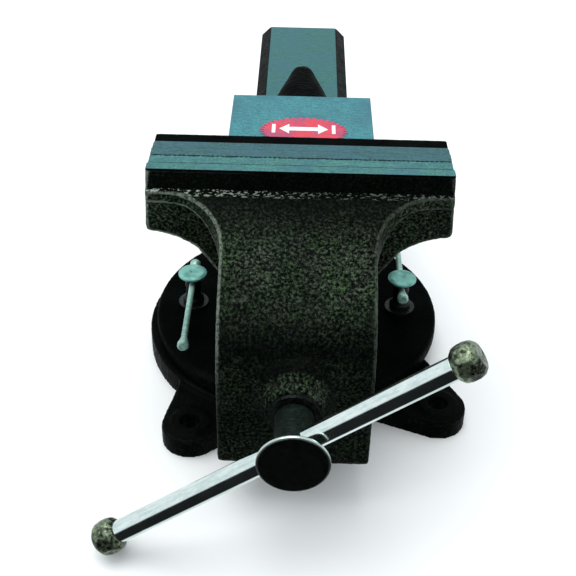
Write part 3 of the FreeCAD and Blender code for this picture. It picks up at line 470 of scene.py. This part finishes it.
FINISH = {
    "black_casting": base_paint, "jaw_steel": jaw_steel, "dark_steel": dark_steel, "bronze": bronze,
    "badge_red": badge_red, "plated_steel": plated, "black_spindle": thread_steel,
    "chrome": chrome, "knob_steel": knob_steel,
}
SLOTS = {part["node"]: part["material_slot"] for part in frame["record"]["subparts"]}
BODY_OF = {}
for body_name, body in frame["record"]["behaviour"]["bodies"].items():
    for node_name in body["nodes"] if isinstance(body, dict) else body:
        BODY_OF[node_name] = body_name
for node_name, slot_name in SLOTS.items():
    data = frame["nodes"][node_name].data
    data.materials.clear()
    data.materials.append(FINISH[slot_name])
for node_name, material in (("rear_jaw_insert", rear_jaw_steel), ("lock_washers", dark_steel)):
    data = frame["nodes"][node_name].data
    data.materials.clear()
    data.materials.append(material)


# ---------------------------------------------------------------- mesh helpers
def place_piece(name, mesh, material, *nodes):
    """Put a mesh in the scene as the visible piece of the given CAD nodes."""
    piece = bpy.data.objects.new(name, mesh)
    bpy.context.scene.collection.objects.link(piece)
    mesh.materials.clear()
    mesh.materials.append(material)
    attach(piece, BODY_OF[nodes[0]])
    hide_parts(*nodes)
    return piece


def shade_smooth(mesh, angle):
    """Smooth shading that stays sharp at edges over the angle, in degrees."""
    mesh.shade_smooth()
    mesh.set_sharp_from_angle(angle=math.radians(angle))


def read_points(mesh):
    points = np.empty(len(mesh.vertices) * 3)
    mesh.vertices.foreach_get("co", points)
    return points.reshape(-1, 3)


def write_points(mesh, points):
    mesh.vertices.foreach_set("co", points.ravel())
    mesh.update()


def read_normals(mesh):
    normals = np.empty(len(mesh.vertices) * 3)
    mesh.vertices.foreach_get("normal", normals)
    return normals.reshape(-1, 3)


def relax(mesh, share, rounds):
    """Move each point towards its neighbours' middle, by its own share, some rounds."""
    edges = np.empty(len(mesh.edges) * 2, dtype=np.int64)
    mesh.edges.foreach_get("vertices", edges)
    first, second = edges.reshape(-1, 2).T
    points = read_points(mesh)
    count = len(points)
    degree = np.bincount(first, minlength=count) + np.bincount(second, minlength=count)
    for _ in range(rounds):
        middle = np.empty_like(points)
        for axis in range(3):
            sums = np.bincount(first, points[second, axis], count)
            sums += np.bincount(second, points[first, axis], count)
            middle[:, axis] = sums / degree
        points += (middle - points) * share[:, None]
    write_points(mesh, points)


WELD = 0.001 * MM            # points closer than this are one point


def remeshed(node_name, voxel):
    """A copy of a CAD node as an even mesh."""
    source = frame["nodes"][node_name]
    copy = bpy.data.objects.new(node_name + "_even", source.data.copy())
    bpy.context.scene.collection.objects.link(copy)
    merge = bmesh.new()
    merge.from_mesh(copy.data)
    bmesh.ops.remove_doubles(merge, verts=merge.verts, dist=WELD)
    merge.to_mesh(copy.data)
    merge.free()
    modifier = copy.modifiers.new("even", "REMESH")
    modifier.mode = "VOXEL"
    modifier.voxel_size = voxel
    graph = bpy.context.evaluated_depsgraph_get()
    mesh = bpy.data.meshes.new_from_object(copy.evaluated_get(graph))
    bpy.data.objects.remove(copy)
    return mesh


VOXEL = 1.4 * MM
ROUND_STEPS = 9
SKIN_DEPTH = 0.35 * MM       # how deep the rough casting's hollows go
SKIN_WAVE = 5.5 * MM
SKIN_SEED = 7
SKIN_WAVES = 48


def skin(points, wave):
    """Smooth noise in -1..1 at each point, as a sum of turned waves with fixed phases."""
    chance = np.random.default_rng(SKIN_SEED)
    total = np.zeros(len(points))
    for _ in range(SKIN_WAVES):
        direction = chance.normal(size=3)
        direction *= 2 * math.pi / (wave * np.linalg.norm(direction) * chance.uniform(0.6, 1.5))
        total += np.sin(points @ direction + chance.uniform(0, 2 * math.pi))
    return np.clip(total / math.sqrt(SKIN_WAVES), -1.5, 1.5) / 1.5


TUNNEL_EASE = 0.6 * MM
HUB_EASE = 0.4 * MM
SLIDE_EASE = 1.3 * MM
EDGE_MOVE = 0.35 * MM        # rounding moves a sharp cast edge at least this far
SNAP = 0.75 * MM


def no_ease(points):
    return np.zeros(len(points))


def casting(node_name, material, ground, rough, faces=(), ease=no_ease):
    """A remeshed casting: cast edges rounded, ground faces kept flat, the rest a rough skin.

    ground(points) is 1 on machined or fitting faces and 0 on cast skin. rough(points) scales
    the skin. faces lists machined planes as (axis, value, lowest z), to keep their corners sharp.
    ease(points) is how far hidden sliding faces are set back, so that the remeshed pieces clear.
    """
    mesh = remeshed(node_name, VOXEL)
    points = read_points(mesh)
    held = ground(points)
    for axis, value, lowest in faces:
        near = (np.abs(points[:, axis] - value) < SNAP) & (points[:, 2] > lowest) & (held > 0.9)
        points[near, axis] = value
    write_points(mesh, points)
    relax(mesh, 0.5 * (1 - held), ROUND_STEPS)
    before = points
    points = read_points(mesh)
    normals = read_normals(mesh)
    moved = np.sum((before - points) * normals, axis=1) / EDGE_MOVE
    edge = mesh.attributes.new("edge", "FLOAT", "POINT")
    edge.data.foreach_set("value", np.clip(moved, 0, 1) * (1 - held))
    depth = SKIN_DEPTH * 0.5 * (skin(points, SKIN_WAVE) - 1.0) * (1 - held) * rough(points)
    depth -= ease(before)
    write_points(mesh, points + normals * depth[:, None])
    shade_smooth(mesh, 35)
    mesh.name = node_name + "_skin"
    return place_piece(node_name + "_cast", mesh, material, node_name)


def band(values, low, high, soft):
    """1 between low and high, falling to 0 over soft outside."""
    inside = np.minimum(values - low, high - values)
    return np.clip(1 + inside / soft, 0, 1)


def machined(points, planes):
    """1 within a millimetre of a machined plane."""
    held = np.zeros(len(points))
    for plane in planes:
        held = np.maximum(held, band(points[:, 2], plane - 0.9 * MM, plane + 0.9 * MM, 1.5 * MM))
    return held


# ---------------------------------------------------------------- the three castings
INSERT_Z = (212.0 * MM, 262.0 * MM)        # the inserts, and 2 mm below them
FRONT_SEAT_BAND = (-103.0 * MM, -88.0 * MM)
REAR_SEAT_BAND = (-90.0 * MM, -75.0 * MM)
JAW_FINE_Z = (245.0 * MM, 262.0 * MM)      # the front jaw's top band has a shallower skin
PAST_SLIDE_Y = 500.0 * MM
SLIDE_FROM_Y = -60.0 * MM
CHANNEL_FROM_Y = -216.0 * MM
CHANNEL_HALF = 49.0 * MM
CHANNEL_TOP = 170.0 * MM
SLIDE_CORNER_X = (48.0 * MM, 52.0 * MM)
SLIDE_CORNER_Z = (74.0 * MM, 77.0 * MM)
SLIDE_CORNER_Y = (-110.0 * MM, 390.0 * MM)
UNDERSIDE_Z = 27.0 * MM                    # the flange's underside and the foot lie below this
LOCK_BOSS_X = 105.0 * MM
LOCK_BOSS_R = 16.0 * MM
LOCK_BOSS_Z = (20.0 * MM, 44.0 * MM)
HUB_R = 31.0 * MM
HUB_Z = (25.5 * MM, 40.0 * MM)
TOP_FACE_R = 136.0 * MM
TOP_FACE_Z = (5.0 * MM, 40.0 * MM)
EAR_REACH = 182.0 * MM
EAR_TURNS = (238.4, 318.0, 98.2)
EAR_PAD_R = 17.5 * MM


def moving_ground(points):
    """Jaw top, the insert's seat, the slide and its channel, and the spindle's bore."""
    x, y, z = points.T
    held = machined(points, (JAW_TOP,))
    seat = band(y, *FRONT_SEAT_BAND, 1 * MM) * band(z, *INSERT_Z, 1 * MM)
    slide = band(y, SLIDE_FROM_Y, PAST_SLIDE_Y, 10 * MM)
    inside = band(np.abs(x), 0, CHANNEL_HALF, 1 * MM) * band(y, CHANNEL_FROM_Y, PAST_SLIDE_Y, 2 * MM)
    inside = inside * band(z, 0, CHANNEL_TOP, 5 * MM)
    return np.maximum.reduce([held, seat, slide, inside])


def moving_rough(points):
    return 1.0 - 0.6 * band(points[:, 2], *JAW_FINE_Z, 1 * MM)


def fixed_ground(points):
    """Jaw top, anvil top, the insert's seat, and all that the housing holds."""
    x, y, z = points.T
    held = machined(points, (JAW_TOP, ANVIL_TOP))
    seat = band(y, *REAR_SEAT_BAND, 1 * MM) * band(z, *INSERT_Z, 1 * MM)
    tunnel = band(np.abs(x), 0, 53.0 * MM, 2 * MM) * band(z, 20.0 * MM, 179.0 * MM, 2 * MM)
    tunnel = tunnel * band(y, -100.0 * MM, 130.0 * MM, 1 * MM)
    under = band(z, 0, UNDERSIDE_Z, 2 * MM)
    bosses = band(np.hypot(np.abs(x) - LOCK_BOSS_X, y), 0, LOCK_BOSS_R, 2 * MM)
    bosses = bosses * band(z, *LOCK_BOSS_Z, 1 * MM)
    return np.maximum.reduce([held, seat, tunnel, under, bosses])


def fixed_rough(points):
    return np.ones(len(points))


def tunnel_ease(points):
    """The tunnel that the slide runs through."""
    x, y, z = points.T
    inside = band(np.abs(x), 0, 52.0 * MM, 1 * MM) * band(z, 30.0 * MM, 178.0 * MM, 1 * MM)
    return TUNNEL_EASE * inside * band(y, -87.0 * MM, 122.0 * MM, 1 * MM)


def slide_ease(points):
    """The two lower corners of the slide."""
    x, y, z = points.T
    corner = band(np.abs(x), *SLIDE_CORNER_X, 1 * MM) * band(z, *SLIDE_CORNER_Z, 1 * MM)
    return SLIDE_EASE * corner * band(y, *SLIDE_CORNER_Y, 1 * MM)


def hub_ease(points):
    """The hub that the swivelling foot turns on."""
    x, y, z = points.T
    return HUB_EASE * band(np.hypot(x, y), 0, HUB_R, 1 * MM) * band(z, *HUB_Z, 1 * MM)


EAR_CENTRES = [
    (EAR_REACH * math.cos(math.radians(turn)), EAR_REACH * math.sin(math.radians(turn)))
    for turn in EAR_TURNS
]


def base_ground(points):
    """The sole, the face under the flange with its slot and hub, and the ears' spot faces."""
    x, y, z = points.T
    sole = band(z, -1 * MM, 1.0 * MM, 1 * MM)
    radius = np.hypot(x, y)
    top = band(radius, 0, TOP_FACE_R, 2 * MM) * band(z, *TOP_FACE_Z, 1 * MM)
    held = np.maximum(sole, top)
    for ear_x, ear_y in EAR_CENTRES:
        away = np.hypot(x - ear_x, y - ear_y)
        held = np.maximum(held, band(away, 0, EAR_PAD_R, 1.5 * MM))
    return held


TOPS_FROM = 200 * MM         # only points above this snap to a top, or to an insert's seat
SEATS_FROM = 212 * MM
casting("moving_jaw_casting", moving_paint, moving_ground, moving_rough,
        ((2, JAW_TOP, TOPS_FROM), (1, FRONT_SEAT_Y, SEATS_FROM)),
        slide_ease)
casting("fixed_jaw_casting", fixed_paint, fixed_ground, fixed_rough,
        ((2, JAW_TOP, TOPS_FROM), (2, ANVIL_TOP, TOPS_FROM), (1, REAR_SEAT_Y, SEATS_FROM)),
        tunnel_ease)
casting("base_casting", base_paint, base_ground, fixed_rough, ease=hub_ease)


# ---------------------------------------------------------------- turned pieces
CORNER_STEPS = 4             # short straight pieces in a softened corner


def softened(profile, radius):
    """A profile of (along, radius) points with its corners rounded by short arcs."""
    result = [profile[0]]
    for before, corner, after in zip(profile, profile[1:], profile[2:]):
        back = Vector(before) - Vector(corner)
        ahead = Vector(after) - Vector(corner)
        reach = min(radius, back.length * 0.45, ahead.length * 0.45)
        if reach < 1e-6 or abs(back.angle(ahead) - math.pi) < 0.05:
            result.append(corner)
            continue
        start = Vector(corner) + back.normalized() * reach
        end = Vector(corner) + ahead.normalized() * reach
        for step in range(CORNER_STEPS + 1):
            share = step / CORNER_STEPS
            curve = start.lerp(Vector(corner), share).lerp(Vector(corner).lerp(end, share), share)
            result.append(tuple(curve))
    result.append(profile[-1])
    return result


def turned_mesh(name, profile, origin, along, segments=96):
    """Spin a profile of (along, radius) points about an axis; an end with radius 0 is closed."""
    along = Vector(along).normalized()
    side = along.orthogonal().normalized()
    other = along.cross(side)
    build = bmesh.new()
    rings = []
    for distance, radius in profile:
        middle = Vector(origin) + along * distance
        if radius < 1e-7:
            rings.append([build.verts.new(middle)])
            continue
        ring = []
        for step in range(segments):
            turn = 2 * math.pi * step / segments
            ring.append(build.verts.new(middle + (side * math.cos(turn) + other * math.sin(turn)) * radius))
        rings.append(ring)
    for low, high in zip(rings, rings[1:]):
        for step in range(segments):
            after = (step + 1) % segments
            corners = [low[step % len(low)], low[after % len(low)], high[after % len(high)],
                       high[step % len(high)]]
            corners = list(dict.fromkeys(corners))
            if len(corners) > 2:
                build.faces.new(corners)
    bmesh.ops.recalc_face_normals(build, faces=build.faces)
    mesh = bpy.data.meshes.new(name)
    build.to_mesh(mesh)
    build.free()
    shade_smooth(mesh, 40)
    return mesh


def turned(name, profile, origin, along, material, nodes, segments=96, soft=0.4 * MM):
    scaled = [(d * MM, r * MM) for d, r in profile]
    mesh = turned_mesh(name, softened(scaled, soft), origin, along, segments)
    return place_piece(name, mesh, material, *nodes)


# ---------------------------------------------------------------- the spindle
DISC_FRONT_Y = -314.0        # lengths from here to the stage are millimetres
DISC_R = 28.5
DISC_THICK = 4.5
DISC_DISH = 0.5              # the disc's middle sits this far back
DISC_BEVEL = 1.6             # the front bevel's depth along the axis, and its width on the face
DISC_BEVEL_WIDTH = 2.0
DISC_BACK_BEVEL = 0.9
SHANK_R = 15.5
SHANK_FILLET = 3.0
SHOULDER_Y = -261.0
SCREW_START_Y = -174.0
SCREW_END_Y = 240.0
SCREW_END_TAPER = 3.0
BAR_Y = -293.0
BAR_R = 9.5
BAR_CLEAR = 0.1
THREAD_STEPS = 12            # rings of points along one turn of the thread
FLANK_SLOPE = 6.0            # the thread's height per turn's share on a flank
FLANK_REACH = 2.1            # the height that the flanks would meet at
Y_AXIS = Vector((0, 1, 0))
Z_AXIS = Vector((0, 0, 1))
BAR_AXIS = Vector((math.cos(BAR_TILT), 0, math.sin(BAR_TILT)))


def drilled(piece, middle, along, radius, reach):
    """Cut a round hole through a piece."""
    cutter_mesh = turned_mesh("cutter", [(-reach, 0), (-reach, radius), (reach, radius), (reach, 0)],
                              middle, along, 64)
    cutter = bpy.data.objects.new("cutter", cutter_mesh)
    bpy.context.scene.collection.objects.link(cutter)
    modifier = piece.modifiers.new("hole", "BOOLEAN")
    modifier.operation = "DIFFERENCE"
    modifier.solver = "EXACT"
    modifier.object = cutter
    graph = bpy.context.evaluated_depsgraph_get()
    mesh = bpy.data.meshes.new_from_object(piece.evaluated_get(graph))
    piece.modifiers.clear()
    piece.data = mesh
    bpy.data.objects.remove(cutter)


def thread_ridge(share):
    """Height of a trapezoidal thread, 0 at the root and 1 on the crest, over one turn."""
    return min(1.0, max(0.0, FLANK_REACH - abs(share - 0.5) * FLANK_SLOPE))


def spindle_mesh():
    """Head, shank and journal by spinning; the thread as rings whose radius follows a helix."""
    behind = DISC_FRONT_Y + DISC_THICK
    profile = [
        (DISC_FRONT_Y + DISC_DISH, 0), (DISC_FRONT_Y, DISC_R * 0.55),
        (DISC_FRONT_Y, DISC_R - DISC_BEVEL_WIDTH), (DISC_FRONT_Y + DISC_BEVEL, DISC_R),
        (behind - DISC_BACK_BEVEL, DISC_R), (behind, DISC_R - DISC_BACK_BEVEL),
        (behind, SHANK_R + SHANK_FILLET), (behind + SHANK_FILLET, SHANK_R), (SHOULDER_Y, SHANK_R),
        (SHOULDER_Y, SCREW_R / MM), (SCREW_START_Y, SCREW_R / MM),
    ]
    rows = softened([(y * MM, r * MM) for y, r in profile], 0.7 * MM)
    smooth = len(rows)
    step = SCREW_LEAD / THREAD_STEPS
    y = SCREW_START_Y * MM + step
    while y < (SCREW_END_Y - SCREW_END_TAPER) * MM:
        rows.append((y, SCREW_R))
        y += step
    threaded = len(rows)
    rows += [(SCREW_END_Y * MM, SCREW_R - SCREW_END_TAPER * MM), (SCREW_END_Y * MM, 0)]
    mesh = turned_mesh("spindle_spun", rows, (0, 0, SCREW_Z), Y_AXIS, 72)
    points = read_points(mesh)
    first = rows[smooth][0] - step / 2
    last = rows[threaded - 1][0] + step / 2
    for index, (x, along, z) in enumerate(points):
        if first < along < last:
            turn = math.atan2(z - SCREW_Z, x) / (2 * math.pi)
            fade = min(1.0, (along - first) / SCREW_LEAD)
            drop = THREAD_DEPTH * (1 - thread_ridge((along / SCREW_LEAD - turn) % 1.0)) * fade
            shrink = 1 - drop / SCREW_R
            points[index] = (x * shrink, along, SCREW_Z + (z - SCREW_Z) * shrink)
    write_points(mesh, points)
    return mesh


spindle = place_piece("spindle_turned", spindle_mesh(), spindle_black, "spindle")
bar_middle = Vector((0, BAR_Y * MM, SCREW_Z))
drilled(spindle, bar_middle, BAR_AXIS, (BAR_R + BAR_CLEAR) * MM, 40 * MM)
shade_smooth(spindle.data, 40)

# ---------------------------------------------------------------- the tommy bar
BAR_SPAN = 335.0
BAR_OFFSET = -16.0
KNOB_R = 14.8
KNOB_LENGTH = 22.0
SPIGOT_R = 6.9
SPIGOT_LENGTH = 14.0
KNOB_FLATS = 8
FLAT_SHARE = 0.955           # a flat's distance from the axis, as a share of the knob's radius

half_bar = (BAR_SPAN - KNOB_LENGTH) / 2
bar_origin = bar_middle + BAR_AXIS * BAR_OFFSET * MM
bar_profile = [
    (-half_bar - SPIGOT_LENGTH, 0), (-half_bar - SPIGOT_LENGTH, SPIGOT_R), (-half_bar, SPIGOT_R),
    (-half_bar, BAR_R), (half_bar, BAR_R), (half_bar, SPIGOT_R), (half_bar + SPIGOT_LENGTH, SPIGOT_R),
    (half_bar + SPIGOT_LENGTH, 0),
]
turned("tommy_bar_turned", bar_profile, bar_origin, BAR_AXIS, chrome, ["tommy_bar"], soft=0.3 * MM)


def knob(name, side):
    """A forged knob: barrel-shaped with eight shallow flats and a dished end."""
    face_r = 0.68 * KNOB_R
    shoulder_r = 0.93 * KNOB_R
    profile = [
        (0, SPIGOT_R + 0.1), (0, face_r), (0.17 * KNOB_LENGTH, shoulder_r), (0.36 * KNOB_LENGTH, KNOB_R),
        (0.62 * KNOB_LENGTH, KNOB_R), (0.83 * KNOB_LENGTH, shoulder_r), (KNOB_LENGTH, face_r),
        (KNOB_LENGTH - 0.8, 0.4 * face_r), (KNOB_LENGTH - 1.0, 0),
    ]
    origin = bar_origin + BAR_AXIS * side * half_bar * MM
    outward = BAR_AXIS * side
    scaled = [(d * MM, r * MM) for d, r in profile]
    mesh = turned_mesh(name, softened(scaled, 1.2 * MM), origin, outward, 128)
    points = read_points(mesh)
    for index, point in enumerate(points):
        away = Vector(point) - origin
        along = away.dot(outward)
        across = away - outward * along
        if across.length > 0.6 * KNOB_R * MM:
            turn = math.atan2(across.z * BAR_AXIS.x - across.x * BAR_AXIS.z, across.y)
            part = 2 * math.pi / KNOB_FLATS
            to_flat = math.cos((turn % part) - part / 2)
            limit = FLAT_SHARE * KNOB_R * MM / to_flat
            if across.length > limit:
                across *= limit / across.length
                points[index] = origin + outward * along + across
    write_points(mesh, points)
    shade_smooth(mesh, 24)
    return place_piece(name, mesh, knob_steel, name.replace("_forged", ""))


knob("left_bar_knob_forged", -1)
knob("right_bar_knob_forged", 1)

# ---------------------------------------------------------------- the swivel locks
LOCK_X = 105.0
LOCK_BAR_Z = 69.0
LOCK_BAR_R = 3.0
LOCK_BAR_LENGTH = 138.0
LOCK_BAR_CAP = 2.0
LOCK_END_R = 5.5
LOCK_END_LENGTH = 12.0
LOCK_SCREW_R = 6.0
LOCK_TIP_Z = 8.6
LOCK_COLLAR_R = 10.5
LOCK_COLLAR_Z = (44.3, 49.0)
LOCK_NECK_R = 7.5
LOCK_NECK_Z = (51.0, 62.0)
LOCK_EYE_R = 8.0
LOCK_EYE_Z = (63.0, 74.0)
LOCK_HEAD_R = 14.3
LOCK_HEAD_Z = (76.8, 78.6)
LOCK_CROWN_Z = 80.0
LOCK_DIMPLE_Z = 78.8
LOCK_SCREW_PROFILE = [
    (LOCK_TIP_Z, 0), (LOCK_TIP_Z, LOCK_SCREW_R), (LOCK_COLLAR_Z[0], LOCK_SCREW_R),
    (LOCK_COLLAR_Z[0], LOCK_COLLAR_R), (LOCK_COLLAR_Z[1], LOCK_COLLAR_R),
    (LOCK_NECK_Z[0], LOCK_NECK_R), (LOCK_NECK_Z[1], LOCK_NECK_R),
    (LOCK_EYE_Z[0], LOCK_EYE_R), (LOCK_EYE_Z[1], LOCK_EYE_R),
    (76.0, 13.4), (LOCK_HEAD_Z[0], LOCK_HEAD_R), (LOCK_HEAD_Z[1], LOCK_HEAD_R),
    (LOCK_CROWN_Z, 10.8), (79.4, 2.0), (LOCK_DIMPLE_Z, 1.2), (LOCK_DIMPLE_Z, 0),
]


def swivel_lock(side, x, bar_y):
    """A lock screw with its sliding T-bar."""
    base = Vector((x * MM, 0, 0))
    screw = turned(f"{side}_lock_screw_turned", LOCK_SCREW_PROFILE, base, Z_AXIS, lock_body,
                   [f"{side}_lock_screw"], soft=0.6 * MM)
    eye = base + Z_AXIS * LOCK_BAR_Z * MM
    drilled(screw, eye, Y_AXIS, (LOCK_BAR_R + BAR_CLEAR) * MM, 16 * MM)
    shade_smooth(screw.data, 40)
    middle = eye + Y_AXIS * bar_y * MM
    half = LOCK_BAR_LENGTH / 2
    rod_half = half - LOCK_BAR_CAP
    rod = [(-rod_half, 0), (-rod_half, LOCK_BAR_R), (rod_half, LOCK_BAR_R), (rod_half, 0)]
    turned(f"{side}_lock_bar_turned", rod, middle, Y_AXIS, plated, [f"{side}_lock_bar"], 48)
    for end_name, direction in (("front", -1), ("back", 1)):
        flare_r = 0.5 * (LOCK_END_R + LOCK_BAR_R)
        cap = [
            (LOCK_BAR_CAP - 1.7, 0), (0, LOCK_END_R - 1.6), (1.2, LOCK_END_R),
            (0.4 * LOCK_END_LENGTH, LOCK_END_R), (0.7 * LOCK_END_LENGTH, flare_r),
            (LOCK_END_LENGTH, LOCK_BAR_R + 0.6), (LOCK_END_LENGTH, LOCK_BAR_R + 0.02),
        ]
        tip = middle + Y_AXIS * direction * half * MM
        turned(f"{side}_lock_bar_{end_name}_end", cap, tip, Y_AXIS * -direction, plated,
               [f"{side}_lock_bar_ends"], 48, 0.5 * MM)


LOCK_BAR_Y = {"left": -38.0, "right": 44.0}
swivel_lock("left", -LOCK_X, LOCK_BAR_Y["left"])
swivel_lock("right", LOCK_X, LOCK_BAR_Y["right"])

# ---------------------------------------------------------------- the badge
BADGE_X = 2.0
BADGE_Y = -18.0
BADGE_HALF_X = 39.5
BADGE_HALF_Y = 26.0
BADGE_THICK = 0.5
SCALLOPS = 36
MARK_RISE = 0.25             # the printed mark stands this much proud
MARK_UP = 3.0                # the mark's middle, past the badge's
ARROW_HALF = 22.0
ARROW_HEAD = 9.0             # its length, and half its width
ARROW_SHAFT = 3.4            # half the shaft's width
TICK_X = 27.0
TICK_HALF_X = 1.6
TICK_HALF_Y = 8.0


def flat_plate(name, outline, low, high, material):
    """A flat plate with the given outline in (x, y), in millimetres."""
    build = bmesh.new()
    top = [build.verts.new((x * MM, y * MM, high)) for x, y in outline]
    bottom = [build.verts.new((x * MM, y * MM, low)) for x, y in outline]
    build.faces.new(top)
    build.faces.new(list(reversed(bottom)))
    for index in range(len(outline)):
        after = (index + 1) % len(outline)
        build.faces.new([top[after], top[index], bottom[index], bottom[after]])
    bmesh.ops.recalc_face_normals(build, faces=build.faces)
    mesh = bpy.data.meshes.new(name)
    build.to_mesh(mesh)
    build.free()
    return place_piece(name, mesh, material, "size_badge")


def oval(scale, wave, count=352):
    """An oval about the badge's centre, with a scalloped rim of the given depth."""
    points = []
    for index in range(count):
        turn = 2 * math.pi * index / count
        reach = scale * (1 - wave * (0.5 + 0.5 * math.cos(SCALLOPS * turn)))
        points.append((BADGE_X + BADGE_HALF_X * reach * math.cos(turn),
                       BADGE_Y + BADGE_HALF_Y * reach * math.sin(turn)))
    return points


def width_mark():
    """A plain double-headed arrow: the sign for a jaw's width."""
    neck = ARROW_HALF - ARROW_HEAD
    right = [
        (neck, ARROW_SHAFT), (neck, ARROW_HEAD), (ARROW_HALF, 0), (neck, -ARROW_HEAD), (neck, -ARROW_SHAFT),
    ]
    left = [(-x, -y) for x, y in right]
    return [(BADGE_X + x, BADGE_Y + MARK_UP + y) for x, y in right + left]


def tick_mark(side):
    """An upright bar at one end of the arrow."""
    x = BADGE_X + side * TICK_X
    y = BADGE_Y + MARK_UP
    corners = ((-1, -1), (1, -1), (1, 1), (-1, 1))
    return [(x + across * TICK_HALF_X, y + up * TICK_HALF_Y) for across, up in corners]


badge_top = ANVIL_TOP + BADGE_THICK * MM
flat_plate("badge_plate", oval(1.0, 0.1), ANVIL_TOP, badge_top, badge_red)
mark_top = badge_top + MARK_RISE * MM
flat_plate("badge_mark", width_mark(), badge_top, mark_top, badge_white)
for side_name, side in (("left", -1), ("right", 1)):
    flat_plate(f"badge_tick_{side_name}", tick_mark(side), badge_top, mark_top, badge_white)

# ---------------------------------------------------------------- stage, lights, camera
floor_mesh = bpy.data.meshes.new("floor")
REACH = 60.0                 # the floor's half width
floor_corners = [(-REACH, -REACH, 0), (REACH, -REACH, 0), (REACH, REACH, 0), (-REACH, REACH, 0)]
floor_mesh.from_pydata(floor_corners, [], [(0, 1, 2, 3)])
floor = bpy.data.objects.new("floor", floor_mesh)
bpy.context.scene.collection.objects.link(floor)
floor_look = Nodes("pale_floor")
floor_look.set(Base_Color=linear(240, 242, 242), Roughness=0.95, Specular_IOR_Level=0.1)
floor_mesh.materials.append(floor_look.material)
floor.visible_glossy = False


WALL_DIP = math.radians(22)  # the dark wall's middle lies this far below the horizon
WALL_EDGE = (0.5, 0.64)      # cosine of the angle from the wall's middle where it fades in
ROOM_STRENGTH = 0.92
WALL_STRENGTH = 0.015


def studio_world():
    """A bright room with a dark wall at the front, so that polished metal shows contrast."""
    world = bpy.data.worlds.new("studio")
    world.use_nodes = True
    tree = world.node_tree
    background = tree.nodes["Background"]
    coord = tree.nodes.new("ShaderNodeTexCoord")
    facing = tree.nodes.new("ShaderNodeVectorMath")
    facing.operation = "DOT_PRODUCT"
    facing.inputs[1].default_value = (0, -math.cos(WALL_DIP), -math.sin(WALL_DIP))
    ramp = tree.nodes.new("ShaderNodeMapRange")
    ramp.interpolation_type = "SMOOTHSTEP"
    ramp.inputs["From Min"].default_value = WALL_EDGE[0]
    ramp.inputs["From Max"].default_value = WALL_EDGE[1]
    ramp.inputs["To Min"].default_value = ROOM_STRENGTH
    ramp.inputs["To Max"].default_value = WALL_STRENGTH
    tree.links.new(coord.outputs["Generated"], facing.inputs[0])
    tree.links.new(facing.outputs["Value"], ramp.inputs["Value"])
    tree.links.new(ramp.outputs["Result"], background.inputs["Strength"])
    background.inputs["Color"].default_value = (0.92, 0.97, 1.0, 1.0)
    bpy.context.scene.world = world


def sun(name, direction, strength, angle):
    data = bpy.data.lights.new(name, "SUN")
    data.energy = strength
    data.angle = math.radians(angle)
    light = bpy.data.objects.new(name, data)
    light.rotation_euler = Vector(direction).to_track_quat("-Z", "Y").to_euler()
    bpy.context.scene.collection.objects.link(light)


studio_world()
sun("key", (0.25, -0.12, -1.0), 1.7, 50)
sun("front", (0.2, 0.9, -1.1), 0.4, 30)

PITCH = math.radians(36.0)
YAW = math.radians(0.42)
ROLL = math.radians(1.24)
SENSOR_WIDTH = 36.0
LENS = 68.82
CAMERA_PLACE = (-0.0025, -0.9012, 0.7172)
camera_data = bpy.data.cameras.new("camera")
camera_data.sensor_width = SENSOR_WIDTH
camera_data.lens = LENS
camera = bpy.data.objects.new("camera", camera_data)
camera.matrix_world = (Matrix.Translation(CAMERA_PLACE) @ Matrix.Rotation(YAW, 4, "Z")
                       @ Matrix.Rotation(math.pi / 2 - PITCH, 4, "X") @ Matrix.Rotation(ROLL, 4, "Z"))
bpy.context.scene.collection.objects.link(camera)
bpy.context.scene.camera = camera
bpy.context.scene.view_settings.view_transform = "Standard"
